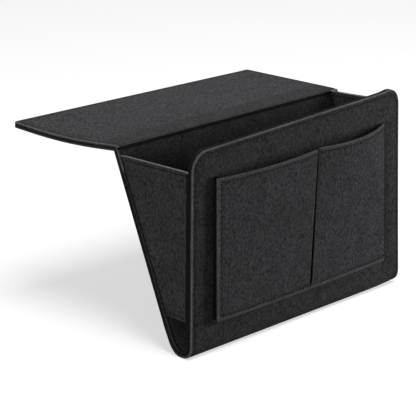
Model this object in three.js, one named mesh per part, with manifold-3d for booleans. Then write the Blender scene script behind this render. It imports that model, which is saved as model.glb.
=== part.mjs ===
// A felt bedside caddy. A flat flap goes under a mattress, the back panel hangs from it and folds
// round a bend at the bottom into the front panel, gussets close the two sides, and two pockets
// are sewn on the front. Millimetres, +X along the width, +Y away from the front, +Z up.
// The origin is the middle of the flap's underside.
import * as THREE from "three";
import { mergeVertices } from "three/addons/utils/BufferGeometryUtils.js";
import Module from "manifold-3d";

const wasm = await Module();
wasm.setup();

// Felt, seams and thread
const feltThickness = 3;
const seamGap = 0.3;
const stitchInset = 4.3;
const threadWidth = 0.9;
const threadThickness = 0.6;
const threadSink = 0.1;
const cutOverrun = 2;

// The band: flap, back, bend and front, each of two felts
const bandWidth = 320;
const frontHeight = 215;
const frontCornerRadius = 20;
const bendRadius = 16.5;
const backLean = THREE.MathUtils.degToRad(22.5);
const backLength = 196.5;
const flapLength = 138;
const flapFlare = 7.5;
const flapCornerRadius = 3;
const creaseRadius = 0.6;
const lidAngle = THREE.MathUtils.degToRad(132);

// Stiffener boards between the two felts
const boardThickness = 1;
const boardInset = 12;
const boardCornerRadius = 8;

// Side gussets
const gussetInset = 4.5;
const gussetEdgeInset = 0.5;
const gussetFrontDrop = 20;
const gussetBackDrop = 1.5;
const gussetBottomFront = 36;
const gussetBottomBack = 38.6;

// Pockets on the front
const pocketLeftMargin = 26;
const pocketRightMargin = 30;
const leftPocketWidth = 141;
const pocketBottom = 31;
const pocketTopMargin = 29;
const sideDepthTop = 8;
const sideDepthBottom = 10;
const ridgeDepthTop = 17;
const ridgeDepthBottom = 6.5;
const rightStartDepthTop = 14;
const rightStartDepthBottom = 6;
const leftBulge = 6.4;
const rightBulge = 12.6;
const pocketFlange = 8;
const pocketStitchInset = 5.6;
const leastWedge = 0.8;
const bulgePower = 1.5;

// How the stitched front has settled: its right top corner pressed back, its top edge tipped
const settleRightBack = 11.7;
const settleRightUp = 3.93;
const settleLeftUp = -2.07;

// Fineness of the curves
const arcSteps = 14;
const cornerSteps = 8;
const panelStep = 10;
const settleStep = 42;

// Derived sizes
const halfWidth = bandWidth / 2;
const pocketLeft = -halfWidth + pocketLeftMargin;
const pocketRight = halfWidth - pocketRightMargin;
const pocketDivider = pocketLeft + leftPocketWidth;
const pocketTop = frontHeight - pocketTopMargin;
const bandThickness = 2 * feltThickness + seamGap;
const innerFeltStart = feltThickness + seamGap;
const grooveWidth = threadWidth + 2 * seamGap;
const grooveDepth = threadSink + threadThickness + seamGap;
const recessDepth = boardThickness + seamGap;
const lean = { sin: Math.sin(backLean), cos: Math.cos(backLean) };

// The bend's centre line, the tangent line of the back and the fold line of the crease, as (Y, Z)
const bendCentre = new THREE.Vector2(bendRadius, bendRadius);
const backOut = new THREE.Vector2(lean.cos, -lean.sin);
const backUp = new THREE.Vector2(lean.sin, lean.cos);
const backFoot = bendCentre.clone().addScaledVector(backOut, bendRadius);
const creaseLine = backFoot.clone().addScaledVector(backUp, backLength);
creaseLine.addScaledVector(backOut, creaseRadius);
const flapUnderside = creaseLine.y + creaseRadius;
const gussetTopFront = frontHeight - gussetFrontDrop;
const gussetTopBack = creaseLine.y - gussetBackDrop;

// How far from the fold line each felt's flat part has to start, so that the flap can come over
const foldRoom = (THREE.MathUtils.degToRad(270) - backLean - lidAngle) / 2;
const foldMargin = THREE.MathUtils.degToRad(1);
const foldTangent = Math.tan(foldRoom - foldMargin);
const outerLeg = (creaseRadius + feltThickness) / foldTangent;
const innerLeg = (creaseRadius + bandThickness) / foldTangent;

// Frames of the three flat panels: local x along the width, y up the panel, z to its inner felt
const frontFrame = new THREE.Matrix4()
  .makeBasis(new THREE.Vector3(-1, 0, 0), new THREE.Vector3(0, 0, 1), new THREE.Vector3(0, 1, 0))
  .setPosition(0, 0, bendRadius);
const backFrame = new THREE.Matrix4()
  .makeBasis(
    new THREE.Vector3(1, 0, 0),
    new THREE.Vector3(0, backUp.x, backUp.y),
    new THREE.Vector3(0, -backOut.x, -backOut.y),
  )
  .setPosition(0, backFoot.x, backFoot.y);
const flapFrame = new THREE.Matrix4().setPosition(0, creaseLine.x, flapUnderside);

// A frame whose local x, y and z are +Y, +Z and +X, for sections that run along the width
function sectionFrame(x) {
  return new THREE.Matrix4()
    .makeBasis(new THREE.Vector3(0, 1, 0), new THREE.Vector3(0, 0, 1), new THREE.Vector3(1, 0, 0))
    .setPosition(x, 0, 0);
}

// A closed geometry as a solid that can be cut and joined
function solidOf(geometry) {
  const bare = geometry.clone();
  bare.deleteAttribute("normal");
  bare.deleteAttribute("uv");
  const merged = mergeVertices(bare);
  return new wasm.Manifold(
    new wasm.Mesh({
      numProp: 3,
      vertProperties: merged.attributes.position.array,
      triVerts: new Uint32Array(merged.index.array),
    }),
  );
}

// A solid as a geometry again
function geometryOf(solid) {
  const mesh = solid.getMesh();
  const geometry = new THREE.BufferGeometry();
  geometry.setAttribute("position", new THREE.BufferAttribute(mesh.vertProperties, 3));
  geometry.setIndex(new THREE.BufferAttribute(mesh.triVerts, 1));
  geometry.computeVertexNormals();
  return geometry;
}

// A flat outline given a thickness, from z0 to z1 of the frame
function slab(shape, z0, z1, frame, curveSegments = cornerSteps) {
  const geometry = new THREE.ExtrudeGeometry(shape, {
    depth: z1 - z0,
    bevelEnabled: false,
    curveSegments,
  });
  geometry.translate(0, 0, z0);
  geometry.applyMatrix4(frame);
  return solidOf(geometry);
}

function joined(solids) {
  return solids.reduce((sum, solid) => sum.add(solid));
}

// An outline with straight sides that widen from the foot to the top and rounded corners
function panelPath(path, footHalf, topHalf, y0, y1, footRadius, topRadius) {
  const widening = (topHalf - footHalf) / (y1 - y0);
  path.moveTo(-footHalf + footRadius, y0);
  path.lineTo(footHalf - footRadius, y0);
  path.quadraticCurveTo(footHalf, y0, footHalf + widening * footRadius, y0 + footRadius);
  path.lineTo(topHalf - widening * topRadius, y1 - topRadius);
  path.bezierCurveTo(...cornerCurve(topHalf, y1, topRadius));
  path.lineTo(-topHalf + topRadius, y1);
  path.bezierCurveTo(...cornerCurveBack(topHalf, y1, topRadius));
  path.lineTo(-footHalf - widening * footRadius, y0 + footRadius);
  path.quadraticCurveTo(-footHalf, y0, -footHalf + footRadius, y0);
  return path;
}

// The share of a corner's radius that puts a cubic curve on the circle
const circleShare = 0.5523;

// The top right corner, from the side to the top edge
function cornerCurve(halfSpan, y1, radius) {
  const pull = radius * (1 - circleShare);
  return [halfSpan, y1 - pull, halfSpan - pull, y1, halfSpan - radius, y1];
}

// The top left corner, from the top edge to the side
function cornerCurveBack(halfSpan, y1, radius) {
  const pull = radius * (1 - circleShare);
  return [-halfSpan + pull, y1, -halfSpan, y1 - pull, -halfSpan, y1 - radius];
}

function panelShape(...sizes) {
  return panelPath(new THREE.Shape(), ...sizes);
}

// A thread row or its groove as a closed loop, a line of the given width along an outline
function loopShape(width, footHalf, topHalf, y0, y1, footRadius, topRadius) {
  const half = width / 2;
  const outer = [footHalf + half, topHalf + half, y0 - half, y1 + half];
  const inner = [footHalf - half, topHalf - half, y0 + half, y1 - half];
  const shape = panelShape(...outer, footRadius + half, topRadius + half);
  shape.holes.push(
    panelPath(new THREE.Path(), ...inner, Math.max(footRadius - half, 0), topRadius - half),
  );
  return shape;
}

// A thread row or its groove that goes up one side, over the top and down the other side
function archShape(width, halfSpan, y0, y1, radius) {
  const outerHalf = halfSpan + width / 2;
  const innerHalf = halfSpan - width / 2;
  const outerTop = y1 + width / 2;
  const innerTop = y1 - width / 2;
  const outerRadius = radius + width / 2;
  const innerRadius = radius - width / 2;
  const innerPull = innerRadius * (1 - circleShare);
  const shape = new THREE.Shape();
  shape.moveTo(outerHalf, y0);
  shape.lineTo(outerHalf, outerTop - outerRadius);
  shape.bezierCurveTo(...cornerCurve(outerHalf, outerTop, outerRadius));
  shape.lineTo(-outerHalf + outerRadius, outerTop);
  shape.bezierCurveTo(...cornerCurveBack(outerHalf, outerTop, outerRadius));
  shape.lineTo(-outerHalf, y0);
  shape.lineTo(-innerHalf, y0);
  shape.lineTo(-innerHalf, innerTop - innerRadius);
  shape.bezierCurveTo(
    -innerHalf,
    innerTop - innerPull,
    -innerHalf + innerPull,
    innerTop,
    -innerHalf + innerRadius,
    innerTop,
  );
  shape.lineTo(innerHalf - innerRadius, innerTop);
  shape.bezierCurveTo(
    innerHalf - innerPull,
    innerTop,
    innerHalf,
    innerTop - innerPull,
    innerHalf,
    innerTop - innerRadius,
  );
  shape.lineTo(innerHalf, y0);
  return shape;
}

function rectangle(x0, x1, y0, y1) {
  return polygon([x0, y0], [x1, y0], [x1, y1], [x0, y1]);
}

function polygon(...points) {
  return new THREE.Shape(points.map(([x, y]) => new THREE.Vector2(x, y)));
}

// A part of a ring about a centre, from angle a0 to a1
function ringShape(centre, innerRadius, outerRadius, a0, a1) {
  const shape = new THREE.Shape();
  shape.absarc(centre.x, centre.y, outerRadius, a0, a1, false);
  shape.absarc(centre.x, centre.y, innerRadius, a1, a0, true);
  return shape;
}

const solids = new Map();

// Thread rows lie in grooves on the outer face (z from zero) or on the inner face of a panel
function outerGroove(shape, frame) {
  return slab(shape, -cutOverrun, grooveDepth, frame);
}

function outerThread(shape, frame) {
  return slab(shape, threadSink, threadSink + threadThickness, frame);
}

function innerGroove(shape, frame) {
  return slab(shape, bandThickness - grooveDepth, bandThickness + cutOverrun, frame);
}

function innerThread(shape, frame) {
  return slab(shape, bandThickness - threadSink - threadThickness, bandThickness - threadSink, frame);
}

function innerFelt(shape, frame) {
  return slab(shape, innerFeltStart, bandThickness, frame);
}

function boardAndRecess(name, shapeOf, frame) {
  solids.set(name, slab(shapeOf(0), innerFeltStart, innerFeltStart + boardThickness, frame));
  return slab(shapeOf(seamGap), innerFeltStart - cutOverrun, innerFeltStart + recessDepth, frame);
}

// Flap
function flapHalf(y) {
  return halfWidth + (flapFlare * y) / flapLength;
}

function flapOutline(y0) {
  return panelShape(flapHalf(y0), flapHalf(flapLength), y0, flapLength, 0, flapCornerRadius);
}

// The seam goes up both sides and along the free edge, and is open towards the crease
function flapRow(width) {
  const y0 = -2 * stitchInset;
  const y1 = flapLength - stitchInset;
  const foot = flapHalf(y0) - stitchInset;
  return loopShape(width, foot, flapHalf(y1) - stitchInset, y0, y1, 0, flapCornerRadius);
}

function flapThread(thread, leg) {
  const end = rectangle(-bandWidth, bandWidth, -bandWidth, leg + 2 * seamGap);
  return thread.subtract(slab(end, -cutOverrun, bandThickness + cutOverrun, flapFrame));
}

function flapBoardOutline(extra) {
  const y0 = innerLeg + boardInset;
  const y1 = flapLength - boardInset;
  const corner = boardCornerRadius + extra;
  const foot = flapHalf(y0) - boardInset + extra;
  return panelShape(foot, flapHalf(y1) - boardInset + extra, y0 - extra, y1 + extra, corner, corner);
}

const flapRecess = boardAndRecess("flap_board", flapBoardOutline, flapFrame);
const flapUnder = slab(flapOutline(outerLeg + seamGap), 0, feltThickness, flapFrame);
const flapTop = innerFelt(flapOutline(innerLeg + seamGap), flapFrame);
solids.set("flap_under_felt", flapUnder.subtract(outerGroove(flapRow(grooveWidth), flapFrame)));
solids.set(
  "flap_top_felt",
  flapTop.subtract(flapRecess).subtract(innerGroove(flapRow(grooveWidth), flapFrame)),
);
solids.set("flap_under_thread", flapThread(outerThread(flapRow(threadWidth), flapFrame), outerLeg));
solids.set("flap_top_thread", flapThread(innerThread(flapRow(threadWidth), flapFrame), innerLeg));

// Crease: each felt goes round the fold line, with a straight leg on the back and on the flap
function creaseShape(start, leg) {
  const inner = creaseRadius + start;
  const outer = inner + feltThickness;
  const backAngle = Math.PI - backLean;
  const down = backUp.clone().multiplyScalar(-leg);
  const innerFoot = creaseLine.clone().addScaledVector(backOut, -inner).add(down);
  const outerFoot = creaseLine.clone().addScaledVector(backOut, -outer).add(down);
  const shape = new THREE.Shape();
  shape.moveTo(creaseLine.x + leg, creaseLine.y + outer);
  shape.absarc(creaseLine.x, creaseLine.y, outer, Math.PI / 2, backAngle, false);
  shape.lineTo(outerFoot.x, outerFoot.y);
  shape.lineTo(innerFoot.x, innerFoot.y);
  shape.absarc(creaseLine.x, creaseLine.y, inner, backAngle, Math.PI / 2, true);
  shape.lineTo(creaseLine.x + leg, creaseLine.y + inner);
  return shape;
}

const widthFrame = sectionFrame(-halfWidth);
solids.set("crease_outer_felt", slab(creaseShape(0, outerLeg), 0, bandWidth, widthFrame, cornerSteps));
solids.set(
  "crease_inner_felt",
  slab(creaseShape(innerFeltStart, innerLeg), 0, bandWidth, widthFrame, cornerSteps),
);

// Back
function backOutline(leg) {
  return rectangle(-halfWidth, halfWidth, seamGap, backLength - leg - seamGap);
}

function backBoardOutline(extra) {
  const corner = boardCornerRadius + extra;
  const half = halfWidth - boardInset + extra;
  const top = backLength - innerLeg - boardInset + extra;
  return panelShape(half, half, boardInset - extra, top, corner, corner);
}

function backRow(side, width, extra) {
  const x = side * (halfWidth - stitchInset);
  const y1 = backLength - outerLeg - 2 * seamGap + extra;
  return rectangle(x - width / 2, x + width / 2, 2 * seamGap - extra, y1);
}

const sides = [
  ["left", -1],
  ["right", 1],
];
const backRecess = boardAndRecess("back_board", backBoardOutline, backFrame);
let backOuter = slab(backOutline(outerLeg), 0, feltThickness, backFrame);
for (const [name, side] of sides) {
  backOuter = backOuter.subtract(outerGroove(backRow(side, grooveWidth, cutOverrun), backFrame));
  solids.set("back_" + name + "_thread", outerThread(backRow(side, threadWidth, 0), backFrame));
}
solids.set("back_outer_felt", backOuter);
solids.set("back_inner_felt", innerFelt(backOutline(innerLeg), backFrame).subtract(backRecess));

// Bend at the bottom, between the front and the back
function bendRing(outerDepth, innerDepth, extra) {
  const trim = (seamGap - extra) / bendRadius;
  const a1 = 2 * Math.PI - backLean - trim;
  return ringShape(bendCentre, bendRadius - innerDepth, bendRadius - outerDepth, Math.PI + trim, a1);
}

let bendOuter = slab(bendRing(0, feltThickness, 0), 0, bandWidth, widthFrame, arcSteps);
for (const [name, side] of sides) {
  const row = side * (halfWidth - stitchInset);
  const cut = slab(
    bendRing(-cutOverrun, grooveDepth, cutOverrun),
    0,
    grooveWidth,
    sectionFrame(row - grooveWidth / 2),
    arcSteps,
  );
  const thread = slab(
    bendRing(threadSink, threadSink + threadThickness, -seamGap),
    0,
    threadWidth,
    sectionFrame(row - threadWidth / 2),
    arcSteps,
  );
  bendOuter = bendOuter.subtract(cut);
  solids.set("bend_" + name + "_thread", thread);
}
solids.set("bend_outer_felt", bendOuter);
solids.set(
  "bend_inner_felt",
  slab(bendRing(innerFeltStart, bandThickness, 0), 0, bandWidth, widthFrame, arcSteps),
);

// Gussets: a web between front and back, with a flange turned outwards on each
function backFaceY(z, inwards) {
  return backFoot.x + ((z - backFoot.y) * lean.sin - inwards) / lean.cos;
}

const seatDepth = bandThickness + seamGap;
const flangeDepth = seatDepth + feltThickness;
const gussetSpan = backFaceY(gussetTopBack, seatDepth) - seatDepth;

function gussetTop(y) {
  const share = (y - seatDepth) / gussetSpan;
  return gussetTopFront + (gussetTopBack - gussetTopFront) * share;
}

function gussetWeb(z0Front, z0Back, z1Front, z1Back) {
  return polygon(
    [seatDepth, z0Front],
    [backFaceY(z0Back, seatDepth), z0Back],
    [backFaceY(z1Back, seatDepth), z1Back],
    [seatDepth, z1Front],
  );
}

const frontFlange = rectangle(seatDepth, flangeDepth, gussetBottomFront, gussetTop(flangeDepth));
const backFlange = polygon(
  [backFaceY(gussetBottomBack, seatDepth), gussetBottomBack],
  [backFaceY(gussetTopBack, seatDepth), gussetTopBack],
  [backFaceY(gussetTopBack, flangeDepth), gussetTopBack],
  [backFaceY(gussetBottomBack, flangeDepth), gussetBottomBack],
);
const gussetWhole = gussetWeb(gussetBottomFront, gussetBottomBack, gussetTopFront, gussetTopBack);

// A row across the web between two heights, clear of the flanges
function gussetRow(zFront, zBack, width, endRoom) {
  const half = width / 2;
  const y0 = flangeDepth + endRoom;
  const y1 = backFaceY(zBack, flangeDepth + endRoom);
  return polygon([y0, zFront - half], [y1, zBack - half], [y1, zBack + half], [y0, zFront + half]);
}

for (const [name, side] of sides) {
  const webOuter = side * (halfWidth - gussetInset);
  const webInner = webOuter - side * feltThickness;
  const flangeEnd = side * (halfWidth - gussetEdgeInset);
  const between = (a, b, shape) => slab(shape, 0, Math.abs(b - a), sectionFrame(Math.min(a, b)));
  let gusset = joined([
    between(webInner, webOuter, gussetWhole),
    between(webInner, flangeEnd, frontFlange),
    between(webInner, flangeEnd, backFlange),
  ]);
  const rows = [
    ["hem", gussetTopFront - stitchInset, gussetTopBack - stitchInset],
    ["foot", gussetBottomFront + stitchInset, gussetBottomBack + stitchInset],
  ];
  for (const [row, zFront, zBack] of rows) {
    const threadTop = webOuter - side * threadSink;
    const threadFloor = threadTop - side * threadThickness;
    const grooveFloor = webOuter - side * grooveDepth;
    const grooveShape = gussetRow(zFront, zBack, grooveWidth, 0);
    const threadShape = gussetRow(zFront, zBack, threadWidth, seamGap);
    gusset = gusset.subtract(between(webOuter + side * cutOverrun, grooveFloor, grooveShape));
    solids.set("gusset_" + name + "_" + row + "_thread", between(threadTop, threadFloor, threadShape));
  }
  solids.set("gusset_" + name, gusset);
}

// Front
const frontRise = frontHeight - bendRadius;

function frontOutline() {
  return panelShape(halfWidth, halfWidth, seamGap, frontRise, 0, frontCornerRadius);
}

function frontBoardOutline(extra) {
  const corner = boardCornerRadius + extra;
  const half = halfWidth - boardInset + extra;
  return panelShape(half, half, boardInset - extra, frontRise - boardInset + extra, corner, corner);
}

function frontRow(width, extra) {
  const radius = frontCornerRadius - stitchInset;
  return archShape(width, halfWidth - stitchInset, 2 * seamGap - extra, frontRise - stitchInset, radius);
}

const frontRecess = boardAndRecess("front_board", frontBoardOutline, frontFrame);
const frontOuter = slab(frontOutline(), 0, feltThickness, frontFrame);
solids.set(
  "front_outer_felt",
  frontOuter.subtract(outerGroove(frontRow(grooveWidth, cutOverrun), frontFrame)),
);
solids.set("front_inner_felt", innerFelt(frontOutline(), frontFrame).subtract(frontRecess));
solids.set("front_edge_thread", outerThread(frontRow(threadWidth, 0), frontFrame));

// Pockets: how far a panel's outer face stands off the front at a place
const rightStart = pocketDivider + seamGap;
const rightFlangeStart = pocketRight - pocketFlange;
const flatDepth = feltThickness + seamGap;

function heightShare(z) {
  return THREE.MathUtils.clamp((z - pocketBottom) / (pocketTop - pocketBottom), 0, 1);
}

function crown(widthShare) {
  return 4 * widthShare * (1 - widthShare);
}

function leftDepth(x, z) {
  const up = heightShare(z);
  const across = THREE.MathUtils.clamp((x - pocketLeft) / (pocketDivider - pocketLeft), 0, 1);
  const side = THREE.MathUtils.lerp(sideDepthBottom, sideDepthTop, up);
  const ridge = THREE.MathUtils.lerp(ridgeDepthBottom, ridgeDepthTop, up);
  return THREE.MathUtils.lerp(side, ridge, across) + leftBulge * up ** bulgePower * crown(across);
}

function rightDepth(x, z) {
  const up = heightShare(z);
  const across = THREE.MathUtils.clamp((x - rightStart) / (rightFlangeStart - rightStart), 0, 1);
  const start = THREE.MathUtils.lerp(rightStartDepthBottom, rightStartDepthTop, up);
  return THREE.MathUtils.lerp(start, flatDepth, across) + rightBulge * up ** bulgePower * crown(across);
}

// A sheet that follows a panel's outer face, from lift outside it to sink inside it
function sheetOn(depthAt, x0, x1, z0, z1, lift, sink) {
  const columns = Math.ceil((x1 - x0) / panelStep);
  const rows = Math.ceil((z1 - z0) / panelStep);
  const geometry = new THREE.BoxGeometry(x1 - x0, feltThickness, z1 - z0, columns, 1, rows);
  geometry.translate((x0 + x1) / 2, 0, (z0 + z1) / 2);
  const position = geometry.attributes.position;
  for (let i = 0; i < position.count; i += 1) {
    const face = -depthAt(position.getX(i), position.getZ(i));
    position.setY(i, position.getY(i) > 0 ? face + sink : face - lift);
  }
  return solidOf(geometry);
}

// The rows along the four edges of a pocket panel
function edgeRows(depthAt, x0, x1, hem, width, lift, sink) {
  const half = width / 2;
  const left = x0 + pocketStitchInset;
  const right = x1 - pocketStitchInset;
  const foot = pocketBottom + pocketStitchInset;
  const top = pocketTop - hem;
  return joined([
    sheetOn(depthAt, left - half, right + half, foot - half, foot + half, lift, sink),
    sheetOn(depthAt, left - half, right + half, top - half, top + half, lift, sink),
    sheetOn(depthAt, left - half, left + half, foot - half, top + half, lift, sink),
    sheetOn(depthAt, right - half, right + half, foot - half, top + half, lift, sink),
  ]);
}

const pocketPanels = [
  ["pocket_left", leftDepth, pocketLeft, pocketDivider],
  ["pocket_right", rightDepth, rightStart, pocketRight],
];
for (const [name, depthAt, x0, x1] of pocketPanels) {
  const panel = sheetOn(depthAt, x0, x1, pocketBottom, pocketTop, 0, feltThickness);
  const groove = edgeRows(depthAt, x0, x1, stitchInset, grooveWidth, cutOverrun, grooveDepth);
  const sink = threadSink + threadThickness;
  solids.set(name + "_panel", panel.subtract(groove));
  solids.set(name + "_thread", edgeRows(depthAt, x0, x1, stitchInset, threadWidth, -threadSink, sink));
}

// A wall that stands off the front behind the edge of a pocket panel
function pocketWall(x0, z0, depthAtFoot, depthAtTop) {
  const shape = polygon(
    [-seamGap, z0],
    [-seamGap, pocketTop],
    [flatDepth - depthAtTop, pocketTop],
    [flatDepth - depthAtFoot, z0],
  );
  return slab(shape, 0, feltThickness, sectionFrame(x0));
}

const wallFoot = pocketBottom + feltThickness + seamGap;
const footRidge = leftDepth(pocketDivider, wallFoot);
solids.set("pocket_side_wall", pocketWall(pocketLeft, pocketBottom, sideDepthBottom, sideDepthTop));
solids.set(
  "pocket_divider",
  pocketWall(pocketDivider - feltThickness, wallFoot, footRidge, ridgeDepthTop),
);

// The bottom wall passes under the divider and runs out to nothing where the right panel lies flat
const wedgeDepth = rightStartDepthBottom - flatDepth - leastWedge - seamGap;
const wedgeShare = wedgeDepth / (rightStartDepthBottom - flatDepth);
const bottomEnd = rightStart + (rightFlangeStart - rightStart) * wedgeShare;
const bottomWall = polygon(
  [pocketLeft + feltThickness + seamGap, -seamGap],
  [pocketLeft + feltThickness + seamGap, flatDepth - leftDepth(pocketLeft + flatDepth, pocketBottom)],
  [pocketDivider, flatDepth - ridgeDepthBottom],
  [rightStart, flatDepth - rightStartDepthBottom],
  [bottomEnd, -leastWedge - seamGap],
  [bottomEnd, -seamGap],
);
solids.set(
  "pocket_bottom_wall",
  slab(bottomWall, pocketBottom, pocketBottom + feltThickness, new THREE.Matrix4()),
);

// Moves a point as the front has settled, less and less towards the back
function settled(point) {
  const across = (point.x + halfWidth) / bandWidth;
  const rise = Math.max((point.z - bendRadius) / frontRise, 0);
  const room = backFaceY(point.z, flangeDepth) - flangeDepth;
  const hold = 1 - THREE.MathUtils.clamp((point.y - flangeDepth) / room, 0, 1);
  const up = THREE.MathUtils.lerp(settleLeftUp, settleRightUp, across);
  return point.add(new THREE.Vector3(0, settleRightBack * across * rise * hold, up * rise * hold));
}

// Splits the edges that are longer than a step, each at its middle and alike for both its faces
function splitLongEdges(points, faces) {
  const middles = new Map();
  const middleOf = (a, b) => {
    const key = Math.min(a, b) + "_" + Math.max(a, b);
    if (!middles.has(key)) {
      const isLong = points[a].distanceTo(points[b]) > settleStep;
      middles.set(key, isLong ? points.push(points[a].clone().lerp(points[b], 0.5)) - 1 : -1);
    }
    return middles.get(key);
  };
  const split = [];
  for (const [a, b, c] of faces) {
    const ring = [middleOf(a, b), b, middleOf(b, c), c, middleOf(c, a), a];
    const first = [0, 2, 4].find((place) => ring[place] >= 0) ?? 1;
    const turned = [...ring.slice(first), ...ring.slice(0, first)].filter((index) => index >= 0);
    for (let i = 1; i + 1 < turned.length; i += 1) {
      split.push([turned[0], turned[i], turned[i + 1]]);
    }
  }
  return split.length > faces.length ? splitLongEdges(points, split) : faces;
}

function settledSolid(solid) {
  const geometry = geometryOf(solid);
  const position = geometry.attributes.position;
  const points = [];
  for (let i = 0; i < position.count; i += 1) {
    points.push(new THREE.Vector3().fromBufferAttribute(position, i));
  }
  const index = geometry.index.array;
  const faces = [];
  for (let i = 0; i < index.length; i += 3) {
    faces.push([index[i], index[i + 1], index[i + 2]]);
  }
  const split = splitLongEdges(points, faces);
  const moved = new THREE.BufferGeometry().setFromPoints(points.map(settled));
  moved.setIndex(split.flat());
  return solidOf(moved);
}

for (const [name, solid] of solids) {
  if (/^(front|pocket|gusset)_/.test(name)) {
    solids.set(name, settledSolid(solid));
  }
}

// Looks, bodies and the assembly
const felt = new THREE.MeshStandardMaterial({ color: 0x38383a, roughness: 0.95, metalness: 0 });
const pocketFelt = new THREE.MeshStandardMaterial({ color: 0x3c3c3e, roughness: 0.95, metalness: 0 });
const flapFelt = new THREE.MeshStandardMaterial({ color: 0x454547, roughness: 0.95, metalness: 0 });
const board = new THREE.MeshStandardMaterial({ color: 0xb4b4ae, roughness: 0.7, metalness: 0 });
const thread = new THREE.MeshStandardMaterial({ color: 0x2a2a2c, roughness: 0.7, metalness: 0 });

function materialFor(name) {
  if (name.endsWith("_thread")) return thread;
  if (name.endsWith("_board")) return board;
  if (name.startsWith("flap")) return flapFelt;
  return name.startsWith("pocket") ? pocketFelt : felt;
}

const caddy = new THREE.Group();
const assemblies = [
  ["flap_assembly", (name) => name.startsWith("flap")],
  ["front_assembly", (name) => name.startsWith("front") || name.startsWith("pocket")],
  ["back_assembly", () => true],
];
const left = new Set(solids.keys());
for (const [assemblyName, belongs] of assemblies) {
  const assembly = new THREE.Group();
  assembly.name = assemblyName;
  for (const name of [...left].filter(belongs)) {
    const mesh = new THREE.Mesh(geometryOf(solids.get(name)), materialFor(name));
    mesh.name = name;
    assembly.add(mesh);
    left.delete(name);
  }
  caddy.add(assembly);
}
caddy.position.set(0, -creaseLine.x - flapLength / 2, -flapUnderside);

export default caddy;
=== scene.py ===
"""A felt bedside caddy: a flap that goes under the mattress, a leaning back, a round bend and a pocketed front.

Shapes are worked out in millimetres in the pouch frame, where X runs across from the middle, Y runs from the
front's outer face to the back and Z from the floor up. They are laid out in metres in the row frame.

Each sheet is cut out flat first. A place on it is across, run and height: its two directions in the sheet, and how
far the place lies above the sewn-in face.
"""

import logging
import math
from dataclasses import dataclass, field
from enum import Enum
from typing import Any, Callable, Iterable, Sequence

import bmesh
import bpy
from mathutils import Matrix, Vector


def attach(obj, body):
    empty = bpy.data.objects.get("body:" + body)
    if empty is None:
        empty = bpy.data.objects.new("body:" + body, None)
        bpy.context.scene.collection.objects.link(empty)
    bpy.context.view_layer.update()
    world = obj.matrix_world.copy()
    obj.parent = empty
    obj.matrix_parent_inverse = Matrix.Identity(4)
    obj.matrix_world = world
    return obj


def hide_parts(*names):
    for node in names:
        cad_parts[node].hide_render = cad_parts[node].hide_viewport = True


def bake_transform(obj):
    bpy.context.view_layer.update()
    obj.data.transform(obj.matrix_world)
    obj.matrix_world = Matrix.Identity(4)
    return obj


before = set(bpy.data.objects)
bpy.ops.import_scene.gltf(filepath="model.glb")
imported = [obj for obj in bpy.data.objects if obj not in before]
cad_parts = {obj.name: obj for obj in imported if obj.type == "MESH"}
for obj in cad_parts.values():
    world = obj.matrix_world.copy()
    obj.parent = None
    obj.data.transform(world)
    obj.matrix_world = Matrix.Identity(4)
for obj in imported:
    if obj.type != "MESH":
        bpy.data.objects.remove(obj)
log = logging.getLogger("caddy")

Place = Callable[[float, float, float], Vector]
Sinking = Callable[[float, float, float], float]
Line = Sequence[tuple[float, float]]
Row = tuple[Line, Place, float]

# A millimetre in metres
MM = 0.001
# How near a place has to be to count as on a line, and a slice as through a vertex, in millimetres
NEAR = 0.01
SLICE_NEAR = 0.001
# How far under its showing face a place of a sheet still counts as on that face, in millimetres
SKIN = 1.0
# Where the slices lie that hold a rim flat and form the groove of its seam, in millimetres from the cut edge
SEAM_STEPS = (1.6, 3.4, 4.3, 5.2, 9.1)
# The settings and the sockets of a Mix node that mixes colours
MIX_COLOURS = {"data_type": "RGBA", "blend_type": "MIX"}
FACTOR, FIRST, SECOND, MIXED = 0, 6, 7, 2


class Pick(Enum):
    """What an edit-mode selection is made of."""

    VERTS = "VERT"
    EDGES = "EDGE"
    FACES = "FACE"


class Face(Enum):
    """Which face of the doubled band shows: the one outside the pouch, or the one inside it."""

    OUTSIDE = "outside"
    INSIDE = "inside"


class Side(Enum):
    """The left or the right half of the caddy, as a sign on X."""

    LEFT = -1
    RIGHT = 1


class Lit(Enum):
    """What a lamp of the studio lights, as the state of the floor among its receivers."""

    FLOOR = "INCLUDE"
    CADDY = "EXCLUDE"


def clamp(value: float) -> float:
    """Keeps a share between 0 and 1."""
    return min(max(value, 0.0), 1.0)


def bell(off: float, reach: float) -> float:
    """Gives 1 in the middle, which dies out over a reach to both sides."""
    return math.exp(-((off / reach) ** 2))


def spread(low: float, high: float, step: float) -> tuple[float, ...]:
    """Gives evenly spread places between two ends, about a step apart, without the ends."""
    count = max(1, round((high - low) / step))
    return tuple(low + (high - low) * i / count for i in range(1, count))


def seam_lines(low: float, high: float, from_low: bool = True) -> tuple[float, ...]:
    """Gives the slices beside the high cut edge, and beside the low one too unless the sheet runs on there."""
    lines = [low + step for step in SEAM_STEPS] if from_low else []
    return tuple(lines + [high - step for step in SEAM_STEPS])


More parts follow.
